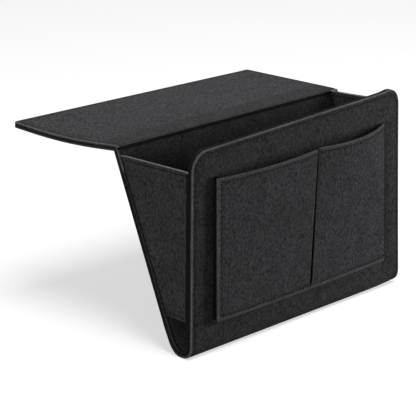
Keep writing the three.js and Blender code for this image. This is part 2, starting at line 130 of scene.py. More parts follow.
@dataclass(frozen=True)
class Cut:
    """The sizes that the caddy is cut and folded to, in millimetres and radians."""

    width: float = 320.0
    felt: float = 3.0
    layer_gap: float = 0.3
    front_height: float = 215.0
    front_corner: float = 20.0
    bend_radius: float = 16.5
    lean: float = math.radians(22.5)
    back_length: float = 196.5
    crease_radius: float = 0.6
    crease_run: float = 4.4
    # How far the fold's own sheets reach along the back and along the flap
    crease_leg: float = 22.0
    flap_length: float = 138.0
    flap_flare: float = 7.5
    flap_corner: float = 3.0
    # The stiffeners: their thickness, and how far in they lie from a cut edge and from a fold
    board: float = 1.0
    board_inset: float = 12.0
    board_from_fold: float = 16.53
    # How much fuller than round the bend is in front, and how much slacker behind, where and over what run
    bend_full: float = 1.7
    bend_slack: float = 1.3
    slack_run: float = 40.0
    slack_reach: float = 9.0
    # How far in from a cut edge its seam runs, and how deep the thread lies in the felt
    seam_inset: float = 4.3
    thread_sink: float = 0.3
    # The strip along a cut edge that has slices of its own, and how far apart they are beyond it
    edge_zone: float = 12.0
    slice_step: float = 16.0

    @property
    def half(self) -> float:
        """Half the band's width."""
        return self.width / 2

    @property
    def band(self) -> float:
        """The thickness of the two felts together."""
        return 2 * self.felt + self.layer_gap

    @property
    def front_rise(self) -> float:
        """The length of the flat front above the bend."""
        return self.front_height - self.bend_radius

    @property
    def thread(self) -> float:
        """The height of the thread in a flat felt sheet."""
        return self.felt - self.thread_sink


@dataclass(frozen=True)
class Settle:
    """How far the stitched caddy has settled out of square, in millimetres at its far corners."""

    front_right_out: float = 9.9
    front_left_up: float = -2.9
    front_right_up: float = 1.2
    front_right_in: float = 0.9
    back_left_out: float = 2.4
    back_right_out: float = -5.15
    back_right_up: float = 0.83
    flap_left_across: float = -4.65
    flap_right_across: float = 4.52
    flap_left_up: float = -1.25
    flap_right_up: float = -7.48
    flap_left_bow: float = -3.4
    # The front's upturned right corner, from this share of the width on
    front_right_tip: float = 6.2
    tip_from: float = 0.9
    # The bend's lifted right end, from this share of the width on and up to this height
    bend_right_up: float = 2.0
    bend_up_from: float = 0.87
    bend_up_below: float = 30.0


@dataclass
class Band:
    """The one doubled strip that runs from the front's top edge round the bend and up the back to the flap.

    A place on it is across, run and depth: X, the length along the outside face measured from the foot of the
    front, and how far in from the outside face.
    """

    cut: Cut = field(default_factory=Cut)
    settle: Settle = field(default_factory=Settle)

    def __post_init__(self) -> None:
        """Works out the bend, the back's directions and the crease."""
        cut = self.cut
        self.up = (math.sin(cut.lean), math.cos(cut.lean))
        self.out = (math.cos(cut.lean), -math.sin(cut.lean))
        self.bend_run = cut.bend_radius * (math.pi - cut.lean)
        self.foot = tuple(cut.bend_radius + cut.bend_radius * d for d in self.out)
        self.back_end = self.bend_run + cut.back_length
        self.flap_start = self.back_end + cut.crease_run
        self.flap_end = self.flap_start + cut.flap_length
        self.crease = tuple(
            foot + up * cut.back_length + out * cut.crease_radius
            for foot, up, out in zip(self.foot, self.up, self.out)
        )

    def flat(self, across: float, run: float, depth: float) -> Vector:
        """Gives a place on the regular band in the pouch frame.

        Args:
            across: X in millimetres.
            run: Length along the outside face from the foot of the front.
            depth: Distance in from the outside face.

        Returns:
            The point in millimetres.
        """
        cut = self.cut
        if run < 0:
            return Vector((across, depth, cut.bend_radius - run))
        depth += cut.bend_slack * bell(run - cut.slack_run, cut.slack_reach)
        if run < self.bend_run:
            turned = run / cut.bend_radius
            radius = cut.bend_radius - depth
            if turned < math.pi / 2:
                radius += cut.bend_full * math.sin(2 * turned) ** 2
            angle = math.pi + turned
            y, z = (cut.bend_radius + radius * turn for turn in (math.cos(angle), math.sin(angle)))
            return Vector((across, y, z))
        if run < self.back_end:
            rise = run - self.bend_run
            y, z = (foot + up * rise - out * depth for foot, up, out in zip(self.foot, self.up, self.out))
            return Vector((across, y, z))
        if run < self.flap_start:
            turned = (run - self.back_end) / cut.crease_run * (math.pi / 2 - cut.lean)
            angle = math.pi - cut.lean - turned
            radius = cut.crease_radius + depth
            y, z = (middle + radius * turn for middle, turn in zip(self.crease, (math.cos(angle), math.sin(angle))))
            return Vector((across, y, z))
        reach = run - self.flap_start
        flare = 1 + cut.flap_flare / cut.half * reach / cut.flap_length
        return Vector((across * flare, self.crease[0] + reach, self.crease[1] + cut.crease_radius + depth))

    def back_face(self, z: float) -> float:
        """Gives Y of the regular back's outside face at a height."""
        return self.foot[0] + (z - self.foot[1]) * math.tan(self.cut.lean)

    def row(self, point: Vector) -> Vector:
        """Lays a point of the pouch frame out in the row frame, as the stitched caddy has settled.

        Args:
            point: A point of the regular caddy, in millimetres.

        Returns:
            The settled point in metres.
        """
        cut, settle = self.cut, self.settle
        # Shares of the way from left to right, from front to back, up the front, up the back and out along the flap
        share = clamp((point.x + cut.half) / cut.width)
        seat = cut.band + cut.layer_gap + cut.felt
        room = self.back_face(point.z) - seat / math.cos(cut.lean) - seat
        depth = clamp((point.y - seat) / room)
        front_rise = max(0.0, (point.z - cut.bend_radius) / cut.front_rise)
        back_rise = clamp((point.z - cut.bend_radius) / (self.crease[1] - cut.bend_radius))
        reach = clamp((point.y - self.crease[0]) / cut.flap_length)
        # The front and the back
        out = (1 - depth) * settle.front_right_out * share * front_rise
        back_out = settle.back_left_out * (1 - share) * (1 - reach) + settle.back_right_out * share
        out += depth * back_out * back_rise
        front_up = settle.front_left_up + (settle.front_right_up - settle.front_left_up) * share
        tip = max(0.0, (share - settle.tip_from) / (1 - settle.tip_from))
        front_up += settle.front_right_tip * tip**2 * front_rise**3
        lift = (1 - depth) * front_up * front_rise + depth * settle.back_right_up * share * back_rise
        # The flap, whose left edge hangs in a bow
        lift += reach * (settle.flap_left_up + (settle.flap_right_up - settle.flap_left_up) * share)
        lift += settle.flap_left_bow * math.sin(math.pi * reach) * (1 - share) ** 8
        across = reach * (settle.flap_left_across + (settle.flap_right_across - settle.flap_left_across) * share)
        # The right end of the bend and the right edge of the front above it
        end = max(0.0, (share - settle.bend_up_from) / (1 - settle.bend_up_from))
        lift += settle.bend_right_up * end**2 * max(0.0, 1 - max(point.z, 0.0) / settle.bend_up_below)
        across -= (1 - depth) * settle.front_right_in * share**4 * (1 - front_rise**3)
        middle = Vector((0.0, self.crease[0] + cut.flap_length / 2, self.crease[1] + cut.crease_radius))
        return (point + Vector((across, out, lift)) - middle) * MM

    def place(self, across: float, run: float, depth: float) -> Vector:
        """Gives a place on the band in the row frame, in metres."""
        return self.row(self.flat(across, run, depth))


@dataclass(frozen=True)
class Outline:
    """The flat outline of a felt sheet in millimetres, with the ends where it runs on into the next sheet."""

    left: float
    right: float
    low: float
    high: float
    corner: float = 0.0
    runs_on_low: bool = False
    runs_on_high: bool = False

    def inset(self, across: float, run: float) -> float:
        """Gives how far a place lies in from the nearest cut edge.

        Args:
            across: The place's X in the flat sheet.
            run: Its Y.

        Returns:
            The distance in millimetres, round the corners too.
        """
        sides = min(across - self.left, self.right - across)
        low = math.inf if self.runs_on_low else run - self.low
        high = math.inf if self.runs_on_high else self.high - run
        end = min(low, high)
        if self.corner > 0 and sides < self.corner and end < self.corner:
            return self.corner - math.hypot(self.corner - sides, self.corner - end)
        return min(sides, end)

    def seam(self, inset: float) -> list[tuple[float, float]]:
        """Gives the line of a seam that runs this far in from the cut edges.

        Args:
            inset: Distance in from the edge, in millimetres.

        Returns:
            The line's points, closed where no end runs on.
        """
        left, right = self.left + inset, self.right - inset
        low = self.low if self.runs_on_low else self.low + inset
        high = self.high if self.runs_on_high else self.high - inset
        radius = max(self.corner - inset, 0.0)

        def rounded(x: float, y: float, start: float) -> list[tuple[float, float]]:
            """Rounds one corner of the line.

            Args:
                x: The corner's X.
                y: The corner's Y.
                start: The angle in degrees that it turns clockwise from.

            Returns:
                The corner's points.
            """
            if radius == 0:
                return [(x, y)]
            cx = x + radius if x == left else x - radius
            cy = y + radius if y == low else y - radius
            angles = [math.radians(start - 10 * step) for step in range(10)]
            return [(cx + radius * math.cos(a), cy + radius * math.sin(a)) for a in angles]

        if self.runs_on_low and self.runs_on_high:
            return [(left, low), (left, high)]
        if self.runs_on_low:
            return [(left, low), *rounded(left, high, 180), *rounded(right, high, 90), (right, low)]
        if self.runs_on_high:
            return [(right, high), *rounded(right, low, 0), *rounded(left, low, -90), (left, high)]
        ring = [*rounded(left, high, 180), *rounded(right, high, 90), *rounded(right, low, 0)]
        return [*ring, *rounded(left, low, -90), ring[0]]


def deselect() -> None:
    """Leaves edit mode and deselects every object."""
    if bpy.context.mode != "OBJECT":
        bpy.ops.object.mode_set(mode="OBJECT")
    bpy.ops.object.select_all(action="DESELECT")


def activate(piece: bpy.types.Object) -> None:
    """Makes one piece the only selected and the active one."""
    deselect()
    piece.select_set(True)
    bpy.context.view_layer.objects.active = piece


def pick(piece: bpy.types.Object, kind: Pick, wanted: Callable[[Any], bool]) -> int:
    """Selects the elements of a piece in edit mode that pass a test.

    Args:
        piece: The piece that is being edited.
        kind: Whether vertices, edges or faces are tested.
        wanted: The test on one element.

    Returns:
        How many elements are selected.
    """
    bpy.ops.mesh.select_mode(type=kind.value)
    bpy.ops.mesh.select_all(action="DESELECT")
    mesh = bmesh.from_edit_mesh(piece.data)
    elements = {Pick.VERTS: mesh.verts, Pick.EDGES: mesh.edges, Pick.FACES: mesh.faces}[kind]
    count = 0
    for element in elements:
        if wanted(element):
            element.select_set(True)
            count += 1
    mesh.select_flush_mode()
    bmesh.update_edit_mesh(piece.data)
    return count


def slice_through(spot: tuple[float, float], normal: tuple[float, float], **cut_off: bool) -> None:
    """Slices all that is being edited along an upright plane.

    Args:
        spot: A point of the plane in XY.
        normal: The plane's normal in XY.
        cut_off: Which side is taken off and whether the end is closed, where the slice is a cut.
    """
    bpy.ops.mesh.select_all(action="SELECT")
    bpy.ops.mesh.bisect(plane_co=(*spot, 0), plane_no=(*normal, 0), threshold=SLICE_NEAR, **cut_off)


def turn_outwards() -> None:
    """Turns all faces of the piece that is being edited outwards."""
    bpy.ops.mesh.select_all(action="SELECT")
    bpy.ops.mesh.normals_make_consistent(inside=False)


@dataclass(frozen=True)
class EdgeMarks:
    """How far the marks of seams and cut edges reach in the felt, in millimetres.

    A seam presses a groove, which is darkened there as painted shade. The felt puffs up on both sides of it, beyond
    the gap that the thread holds down, and the strip between the seam and the cut edge may get a painted highlight. A
    painted highlight, broken up by fuzz noise, runs round the cut rim about a middle that lies a little inside it, and
    a hem may be painted highlight altogether. A cut face is darkened from its top down, as painted shade between the
    felts.
    """

    groove: float = 0.75
    groove_shade: float = 0.9
    full_shade: float = 0.8
    puff: float = 0.14
    puff_reach: float = 2.6
    puff_gap: float = 1.2
    strip: float = 0.8
    highlight_fuzz: float = 1.15
    highlight_middle: float = 0.3
    hem: float = 0.7
    face_inset: float = 0.5
    face_top: float = 0.4
    face_fade: float = 0.5


@dataclass
class SheetShape:
    """How one felt or board sheet is cut out and worked while it lies flat.

    The flat sheet lies in XY with its showing face up at the full thickness and its sewn-in face at zero.
    """

    name: str
    outline: Outline
    thickness: float = 3.0
    # The rounding of the cut edges, on the showing face and on the sewn-in face
    rim: float = 0.9
    under_rim: float = 0.4
    # Where the sheet is sliced so that it can be bent and grooved: along its outline, across and along
    rings: tuple[float, ...] = ()
    columns: tuple[float, ...] = ()
    rows: tuple[float, ...] = ()
    # The beds of the stiffeners in the sewn-in face, each as left, right, low and high
    beds: tuple[tuple[float, float, float, float], ...] = ()
    bed_depth: float = 1.3
    # How deep the seam draws the felt down, how far in it runs and whether it follows the left and the right edge
    groove: float = 0.6
    groove_inset: float | None = 4.3
    groove_sides: tuple[bool, bool] = (True, True)
    # How strong the painted highlight is on the cut rim, also at the high end where that differs, on the strip outside
    # the seam and along the whole hem
    rim_highlight: float = 1.0
    rim_highlight_high: float | None = None
    strip_highlight: float = 0.0
    highlit_hem: bool = False
    # How dark the painted shade is on the cut faces and in the seam
    side_shade: float = 1.0
    seam_shade: float = 0.45
    # How much longer the sheet is cut where it runs on, so that no rounding is left at its trimmed end
    spare: float = 14.0
    edge_marks: EdgeMarks = field(default_factory=EdgeMarks)

    def cut_out(self) -> bpy.types.Object:
        """Cuts the sheet from a plane, rounds its corners, gives it its thickness and works its seams.

        Returns:
            The flat sheet, in millimetres.
        """
        outline = self.outline
        low = outline.low - (self.spare if outline.runs_on_low else 0)
        high = outline.high + (self.spare if outline.runs_on_high else 0)
        deselect()
        middle = ((outline.left + outline.right) / 2, (low + high) / 2, 0)
        bpy.ops.mesh.primitive_plane_add(size=1, location=middle)
        piece = bpy.context.active_object
        piece.name = self.name
        piece.data.name = self.name
        piece.scale = (outline.right - outline.left, high - low, 1)
        bpy.ops.object.transform_apply(location=True, rotation=True, scale=True)
        bpy.ops.object.mode_set(mode="EDIT")
        self.round_corners(piece)
        bpy.ops.mesh.select_all(action="SELECT")
        bpy.ops.mesh.extrude_region_move(TRANSFORM_OT_translate={"value": (0, 0, self.thickness)})
        self.inset_rings()
        turn_outwards()
        self.slice_up()
        self.sink_beds(piece)
        self.round_rims(piece)
        self.trim()
        bpy.ops.object.mode_set(mode="OBJECT")
        return piece

    def round_corners(self, piece: bpy.types.Object) -> None:
        """Rounds the outline's corners at its cut ends, a large one in more steps.

        Args:
            piece: The flat sheet in edit mode, still without thickness.
        """
        outline = self.outline
        if outline.corner <= 0:
            return

        def at_cut_end(vert: Any) -> bool:
            """Tells whether a corner lies at an end that is cut off."""
            low = not outline.runs_on_low and abs(vert.co.y - outline.low) < NEAR
            return low or (not outline.runs_on_high and abs(vert.co.y - outline.high) < NEAR)

        if pick(piece, Pick.VERTS, at_cut_end):
            segments = 12 if outline.corner > 10 else 5
            bpy.ops.mesh.bevel(offset=outline.corner, segments=segments, affect="VERTICES", clamp_overlap=False)

    def inset_rings(self) -> None:
        """Insets the showing face along its outline, for the rim and the seam's groove."""
        last = 0.0
        for ring in self.rings:
            bpy.ops.mesh.inset(thickness=ring - last, depth=0, use_even_offset=True)
            last = ring

    def slice_up(self) -> None:
        """Slices the sheet along its columns, rows and beds, so that it can be bent, grooved and recessed."""
        low, high = self.outline.low - self.spare, self.outline.high + self.spare
        bed_columns = {side for bed in self.beds for side in bed[:2]}
        bed_rows = {end for bed in self.beds for end in bed[2:] if low < end < high}
        for column in (*self.columns, *sorted(bed_columns)):
            slice_through((column, 0), (1, 0))
        for row in (*self.rows, *sorted(bed_rows)):
            slice_through((0, row), (0, 1))

    def sink_beds(self, piece: bpy.types.Object) -> None:
        """Sinks the shallow beds of the stiffeners into the sewn-in face.

        Args:
            piece: The sliced sheet in edit mode.
        """
        for left, right, low, high in self.beds:

            def in_bed(face: Any, box: tuple[float, ...] = (left, right, low, high)) -> bool:
                """Tells whether a face of the sewn-in side lies in the bed."""
                spot = face.calc_center_median()
                return spot.z < NEAR and box[0] < spot.x < box[1] and box[2] < spot.y < box[3]

            if pick(piece, Pick.FACES, in_bed):
                bpy.ops.mesh.extrude_region_move(TRANSFORM_OT_translate={"value": (0, 0, self.bed_depth)})

    def round_rims(self, piece: bpy.types.Object) -> None:
        """Rounds the cut edges, softly on the showing face and lightly on the sewn-in face.

        Args:
            piece: The sliced sheet in edit mode.
        """
        for height, offset, segments in ((self.thickness, self.rim, 3), (0.0, self.under_rim, 2)):

            def on_rim(edge: Any, height: float = height) -> bool:
                """Tells whether an edge runs along the outline at this height."""
                if any(abs(vert.co.z - height) > NEAR for vert in edge.verts):
                    return False
                return all(abs(self.outline.inset(vert.co.x, vert.co.y)) < 5 * NEAR for vert in edge.verts)

            if pick(piece, Pick.EDGES, on_rim):
                bpy.ops.mesh.bevel(offset=offset, segments=segments, profile=0.5, affect="EDGES", clamp_overlap=False)

    def trim(self) -> None:
        """Trims the ends that run on into the next sheet and closes them."""
        outline = self.outline
        if outline.runs_on_low:
            slice_through((0, outline.low), (0, 1), use_fill=True, clear_inner=True)
        if outline.runs_on_high:
            slice_through((0, outline.high), (0, 1), use_fill=True, clear_outer=True)

    def from_seam(self, across: float, run: float) -> float:
        """Gives how far a place lies in from the line of the seam, which may leave out the left or right edge.

        Args:
            across: The place's X in the flat sheet.
            run: Its Y.

        Returns:
            The distance in millimetres, below zero on the strip outside the seam.
        """
        left, right = self.groove_sides
        if left and right:
            return self.outline.inset(across, run) - self.groove_inset
        ends = min(run - self.outline.low, self.outline.high - run)
        from_left = across - self.outline.left if left else math.inf
        from_right = self.outline.right - across if right else math.inf
        return min(ends, from_left, from_right) - self.groove_inset

    def glow(self, run: float) -> float:
        """Gives how strong the painted highlight along the cut rim is at a place along the sheet.

        Args:
            run: The place's Y in the flat sheet.

        Returns:
            A share from 0 to 1.
        """
        if self.rim_highlight_high is None:
            return self.rim_highlight
        share = (run - self.outline.low) / (self.outline.high - self.outline.low)
        return self.rim_highlight + (self.rim_highlight_high - self.rim_highlight) * clamp(share)

    def pressed(self, across: float, run: float, height: float) -> float:
        """Gives how far the seam draws the showing face in, or lets it puff up beside the thread.

        Args:
            across: The place's X in the flat sheet.
            run: Its Y.
            height: Its height above the sewn-in face.

        Returns:
            The distance down, in millimetres.
        """
        if self.groove_inset is None or height < self.thickness - SKIN:
            return 0.0
        off = self.from_seam(across, run)
        puff = self.edge_marks.puff * bell(off, self.edge_marks.puff_reach) * (1 - bell(off, self.edge_marks.puff_gap))
        return self.groove * bell(off, self.edge_marks.groove) - puff

    def looks(self, across: float, run: float, height: float, sunk: float) -> tuple[float, float, float]:
        """Gives the painted highlight and the painted shade that a place's felt is coloured by.

        Args:
            across: The place's X in the flat sheet.
            run: Its Y.
            height: Its height above the sewn-in face.
            sunk: How far it is sunk by more than the seam.

        Returns:
            The strength of its painted rim highlight, and how dark the painted shade is on its cut face and in its
            seam.
        """
        edge_marks = self.edge_marks
        inset = self.outline.inset(across, run)
        under = self.thickness - height
        sewn = self.groove_inset is not None and under < SKIN
        # Painted highlight: in full along a highlit hem, round the cut rim, and on the strip outside the seam
        pale = self.highlit_hem and self.outline.high - run < edge_marks.hem
        corner = math.hypot(inset - edge_marks.highlight_middle, under - edge_marks.highlight_middle)
        rim = self.glow(run) * clamp(1 - corner / edge_marks.highlight_fuzz)
        if sewn and self.from_seam(across, run) < -edge_marks.strip:
            rim = max(rim, self.strip_highlight)
        # Painted shade on a cut face, darker down towards the gap between the felts
        side = clamp((under - edge_marks.face_top) / edge_marks.face_fade) if inset < edge_marks.face_inset and not pale else 0.0
        # Painted shade in the seam's groove, and where the felt is sunk further, as in the pressed fold and beside the
        # pocket
        seam = self.seam_shade * bell(self.from_seam(across, run), edge_marks.groove_shade) if sewn else 0.0
        seam = max(seam, min(sunk / edge_marks.full_shade, 1.0))
        return 1.0 if pale else rim, self.side_shade * side, seam

    def lay(self, piece: bpy.types.Object, place: Place, sinking: Sinking | None = None) -> None:
        """Lays the flat sheet into place and marks the painted highlight on its cut rim and the painted shade on its
        cut faces and where it is drawn down.

        Args:
            piece: The flat sheet.
            place: Gives the row frame's point for a place on the flat sheet.
            sinking: Gives a further sinking of the showing face at a place, if there is one.
        """
        marks = [piece.data.attributes.new(name, "FLOAT", "POINT") for name in ("rim", "side", "seam")]
        for vert in piece.data.vertices:
            across, run, height = vert.co
            further = sinking(across, run, height) if sinking else 0.0
            for mark, value in zip(marks, self.looks(across, run, height, further)):
                mark.data[vert.index].value = value
            vert.co = place(across, run, height - self.pressed(across, run, height) - further)
        activate(piece)
        bpy.ops.object.mode_set(mode="EDIT")
        turn_outwards()
        bpy.ops.object.mode_set(mode="OBJECT")
        bpy.ops.object.shade_smooth_by_angle(angle=math.radians(50))


@dataclass(frozen=True)
class Stitching:
    """The needle thread: one stitch is modelled and copied along each seam, its sizes in millimetres.

    Real thread is 0.9 wide. The stitch is drawn wider, so that the dashes show.
    """

    pitch: float = 5.6
    length: float = 3.4
    width: float = 2.2
    height: float = 1.1
    dive: float = 0.22
    walk: float = 0.7

    def model_stitch(self) -> tuple[list[Vector], list[tuple[int, ...]]]:
        """Models one stitch whose ends dive into the felt.

        Returns:
            Its vertices in millimetres and its faces.
        """
        deselect()
        bpy.ops.mesh.primitive_uv_sphere_add(segments=6, ring_count=6, radius=0.5)
        piece = bpy.context.active_object
        bpy.ops.object.mode_set(mode="EDIT")
        bpy.ops.mesh.select_all(action="SELECT")
        bpy.ops.transform.rotate(value=math.pi / 2, orient_axis="Y", center_override=(0, 0, 0))
        bpy.ops.transform.resize(value=(self.length, self.width, self.height), center_override=(0, 0, 0))
        bpy.ops.object.mode_set(mode="OBJECT")
        verts = []
        for vert in piece.data.vertices:
            share = abs(vert.co.x) / (self.length / 2)
            verts.append(Vector((vert.co.x, vert.co.y, vert.co.z - self.dive * share**3)))
        faces = [tuple(polygon.vertices) for polygon in piece.data.polygons]
        bpy.data.objects.remove(piece)
        return verts, faces

    def sew(self, name: str, rows: Iterable[Row]) -> bpy.types.Object:
        """Sews rows of stitches as one piece.

        Args:
            name: The piece's name.
            rows: For each row its line on the flat sheet, the sheet's place function and the height of the thread.

        Returns:
            The piece that holds the rows.
        """
        shape, shape_faces = self.model_stitch()
        verts: list[Vector] = []
        faces: list[tuple[int, ...]] = []
        for line, place, height in rows:
            for middle, along, over in self.stations(line, place, height):
                beside = over.cross(along)
                first = len(verts)
                for spot in shape:
                    verts.append(middle + (along * spot.x + beside * spot.y + over * spot.z) * MM)
                faces.extend(tuple(first + index for index in face) for face in shape_faces)
        mesh = bpy.data.meshes.new(name)
        mesh.from_pydata(verts, [], faces)
        piece = bpy.data.objects.new(name, mesh)
        bpy.context.scene.collection.objects.link(piece)
        activate(piece)
        bpy.ops.object.shade_smooth()
        return piece

    def stations(self, line: Line, place: Place, height: float) -> list[tuple[Vector, Vector, Vector]]:
        """Walks along a seam in small steps and gives each stitch its place.

        Args:
            line: The seam's line on the flat sheet.
            place: The sheet's place function.
            height: The thread's height in the flat sheet.

        Returns:
            For each stitch its middle, its direction and the way up from the felt.
        """
        flat = []
        for (x0, y0), (x1, y1) in zip(line, line[1:]):
            count = max(1, math.ceil(math.hypot(x1 - x0, y1 - y0) / self.walk))
            flat.extend((x0 + (x1 - x0) * i / count, y0 + (y1 - y0) * i / count) for i in range(count))
        flat.append(line[-1])
        points = [place(x, y, height) for x, y in flat]
        lengths = [0.0]
        for before, after in zip(points, points[1:]):
            lengths.append(lengths[-1] + (after - before).length / MM)
        count = max(1, round(lengths[-1] / self.pitch))
        stations = []
        index = 0
        for number in range(count):
            wanted = lengths[-1] * (number + 0.5) / count
            while lengths[index + 1] < wanted:
                index += 1
            share = (wanted - lengths[index]) / max(lengths[index + 1] - lengths[index], 1e-9)
            middle = points[index].lerp(points[index + 1], share)
            before, after = points[max(index - 1, 0)], points[min(index + 2, len(points) - 1)]
            along = (after - before).normalized()
            x, y = flat[index]
            over = place(x, y, height + 0.5) - place(x, y, height - 0.5)
            over = (over - along * over.dot(along)).normalized()
            stations.append((middle, along, over))
        return stations


def linear(code: str) -> tuple[float, float, float, float]:
    """Turns an sRGB hex colour to linear light.

    Args:
        code: The colour, as # and six digits.

    Returns:
        Red, green, blue and full alpha.
    """
    parts = [int(code[i : i + 2], 16) / 255 for i in (1, 3, 5)]
    red, green, blue = (p / 12.92 if p <= 0.04045 else ((p + 0.055) / 1.055) ** 2.4 for p in parts)
    return red, green, blue, 1.0


def add_node(tree: Any, kind: str, settings: dict[str, Any], inputs: dict[Any, Any]) -> Any:
    """Adds a node with its settings and links.

    A Map Range node takes the value as 0, the ends that it runs between as 1 and 2, and what they become as 3 and 4.

    Args:
        tree: The material's node tree.
        kind: The node's type.
        settings: Values of the node's own properties.
        inputs: For each input a value, or the output that it is linked to.

    Returns:
        The new node.
    """
    node = tree.nodes.new(kind)
    for name, value in settings.items():
        setattr(node, name, value)
    for name, value in inputs.items():
        if isinstance(value, bpy.types.NodeSocket):
            tree.links.new(value, node.inputs[name])
        else:
            node.inputs[name].default_value = value
    return node


def bare_tree(owner: Any) -> Any:
    """Gives the emptied node tree of a material or a world."""
    owner.use_nodes = True
    owner.node_tree.nodes.clear()
    return owner.node_tree


def blank_material(name: str) -> tuple[bpy.types.Material, Any, Any]:
    """Makes a node material that has nothing in it yet.

    Args:
        name: The material's name.

    Returns:
        The material, its node tree and the place that its patterns are read at.
    """
    material = bpy.data.materials.new(name)
    tree = bare_tree(material)
    return material, tree, add_node(tree, "ShaderNodeTexCoord", {}, {}).outputs["Object"]


@dataclass(frozen=True)
class NeedledFelt:
    """Needle-punched polyester felt: short fibres of several greys, pressed matt, with painted highlight and shade at
    cut edges and seams.
    """

    name: str
    body: str
    clump: str
    fleck: str
    # shade is the colour of the painted shade on cut faces and in seams, rim the colour of the painted highlight on cut
    # rims
    shade: str
    rim: str

    def dress(self) -> bpy.types.Material:
        """Builds the material, which gives the eye a soft heathered grey with a grain of fibre ends.

        Returns:
            The material.
        """
        material, tree, place = blank_material(self.name)
        # Clumps of darker fibre, about 2.5 mm across
        pattern = {"Vector": place, "Scale": 400, "Detail": 3, "Roughness": 0.7}
        clumps = add_node(tree, "ShaderNodeTexNoise", {}, pattern).outputs[0]
        contrast = {0: clumps, 1: 0.36, 2: 0.64, 3: 0.0, 4: 1.0}
        share = add_node(tree, "ShaderNodeMapRange", {}, contrast).outputs[0]
        greys = {FACTOR: share, FIRST: linear(self.clump), SECOND: linear(self.body)}
        colour = add_node(tree, "ShaderNodeMix", MIX_COLOURS, greys).outputs[MIXED]
        # Light fibres 0.6 mm wide and 6 mm long; the real ones are a tenth as wide, drawn coarser so that they show
        for turn, shift in (((0.6, 0.5, 0.2), 0.0), ((-0.7, 0.9, 1.1), 3.1), ((1.5, 0.2, 2.0), 7.7)):
            lie = {"Vector": place, "Location": (shift,) * 3, "Rotation": turn, "Scale": (1500, 1500, 170)}
            laid = add_node(tree, "ShaderNodeMapping", {}, lie).outputs[0]
            strand = add_node(tree, "ShaderNodeTexNoise", {}, {"Vector": laid, "Scale": 1, "Detail": 1}).outputs[0]
            seen = add_node(tree, "ShaderNodeMapRange", {}, {0: strand, 1: 0.58, 2: 0.74, 3: 0.0, 4: 0.7}).outputs[0]
            greys = {FACTOR: seen, FIRST: colour, SECOND: linear(self.fleck)}
            colour = add_node(tree, "ShaderNodeMix", MIX_COLOURS, greys).outputs[MIXED]
        # Painted shade: on the cut faces, darker down towards the gap between the felts, and in the seams' grooves, the
        # pressed fold and beside the pocket
        for attribute in ("side", "seam"):
            mark = add_node(tree, "ShaderNodeAttribute", {"attribute_name": attribute}, {}).outputs["Fac"]
            share = add_node(tree, "ShaderNodeMath", {"operation": "MULTIPLY"}, {0: mark, 1: 0.8}).outputs[0]
            greys = {FACTOR: share, FIRST: colour, SECOND: linear(self.shade)}
            colour = add_node(tree, "ShaderNodeMix", MIX_COLOURS, greys).outputs[MIXED]
        # Painted highlight: the light line along a cut edge, broken up by fuzz noise, about 1.2 mm across
        mark = add_node(tree, "ShaderNodeAttribute", {"attribute_name": "rim"}, {}).outputs["Fac"]
        highlight_fuzz = add_node(tree, "ShaderNodeTexNoise", {}, {"Vector": place, "Scale": 830, "Detail": 2}).outputs[0]
        left = add_node(tree, "ShaderNodeMapRange", {}, {0: highlight_fuzz, 1: 0.3, 2: 0.65, 3: 0.25, 4: 1.0}).outputs[0]
        rim_highlit = add_node(tree, "ShaderNodeMath", {"operation": "MULTIPLY"}, {0: mark, 1: left}).outputs[0]
        greys = {FACTOR: rim_highlit, FIRST: colour, SECOND: linear(self.rim)}
        colour = add_node(tree, "ShaderNodeMix", MIX_COLOURS, greys).outputs[MIXED]
        # Uneven laying of the fibre, about 20 mm across
        pattern = {"Vector": place, "Scale": 50, "Detail": 3, "Roughness": 0.6}
        clouds = add_node(tree, "ShaderNodeTexNoise", {}, pattern).outputs[0]
        value = add_node(tree, "ShaderNodeMapRange", {}, {0: clouds, 1: 0.3, 2: 0.7, 3: 0.88, 4: 1.12}).outputs[0]
        clouded = {"Hue": 0.5, "Saturation": 1.0, "Value": value, "Fac": 1.0, "Color": colour}
        colour = add_node(tree, "ShaderNodeHueSaturation", {}, clouded).outputs[0]
        # Fibre ends, about 0.7 mm across, over the soft swell of the clumps
        ends = add_node(tree, "ShaderNodeTexNoise", {}, {"Vector": place, "Scale": 1400, "Detail": 2}).outputs[0]
        swell = {0: clumps, 1: 0.8, 2: ends}
        height = add_node(tree, "ShaderNodeMath", {"operation": "MULTIPLY_ADD"}, swell).outputs[0]
        relief = {"Strength": 0.55, "Distance": 0.0004, "Height": height}
        surface = {
            "Base Color": colour,
            "Roughness": 0.95,
            "Specular IOR Level": 0.12,
            "Sheen Weight": 0.05,
            "Sheen Roughness": 0.5,
            "Sheen Tint": (0.8, 0.8, 0.82, 1.0),
            "Normal": add_node(tree, "ShaderNodeBump", {}, relief).outputs[0],
        }
        shader = add_node(tree, "ShaderNodeBsdfPrincipled", {}, surface)
        add_node(tree, "ShaderNodeOutputMaterial", {}, {"Surface": shader.outputs[0]})
        return material


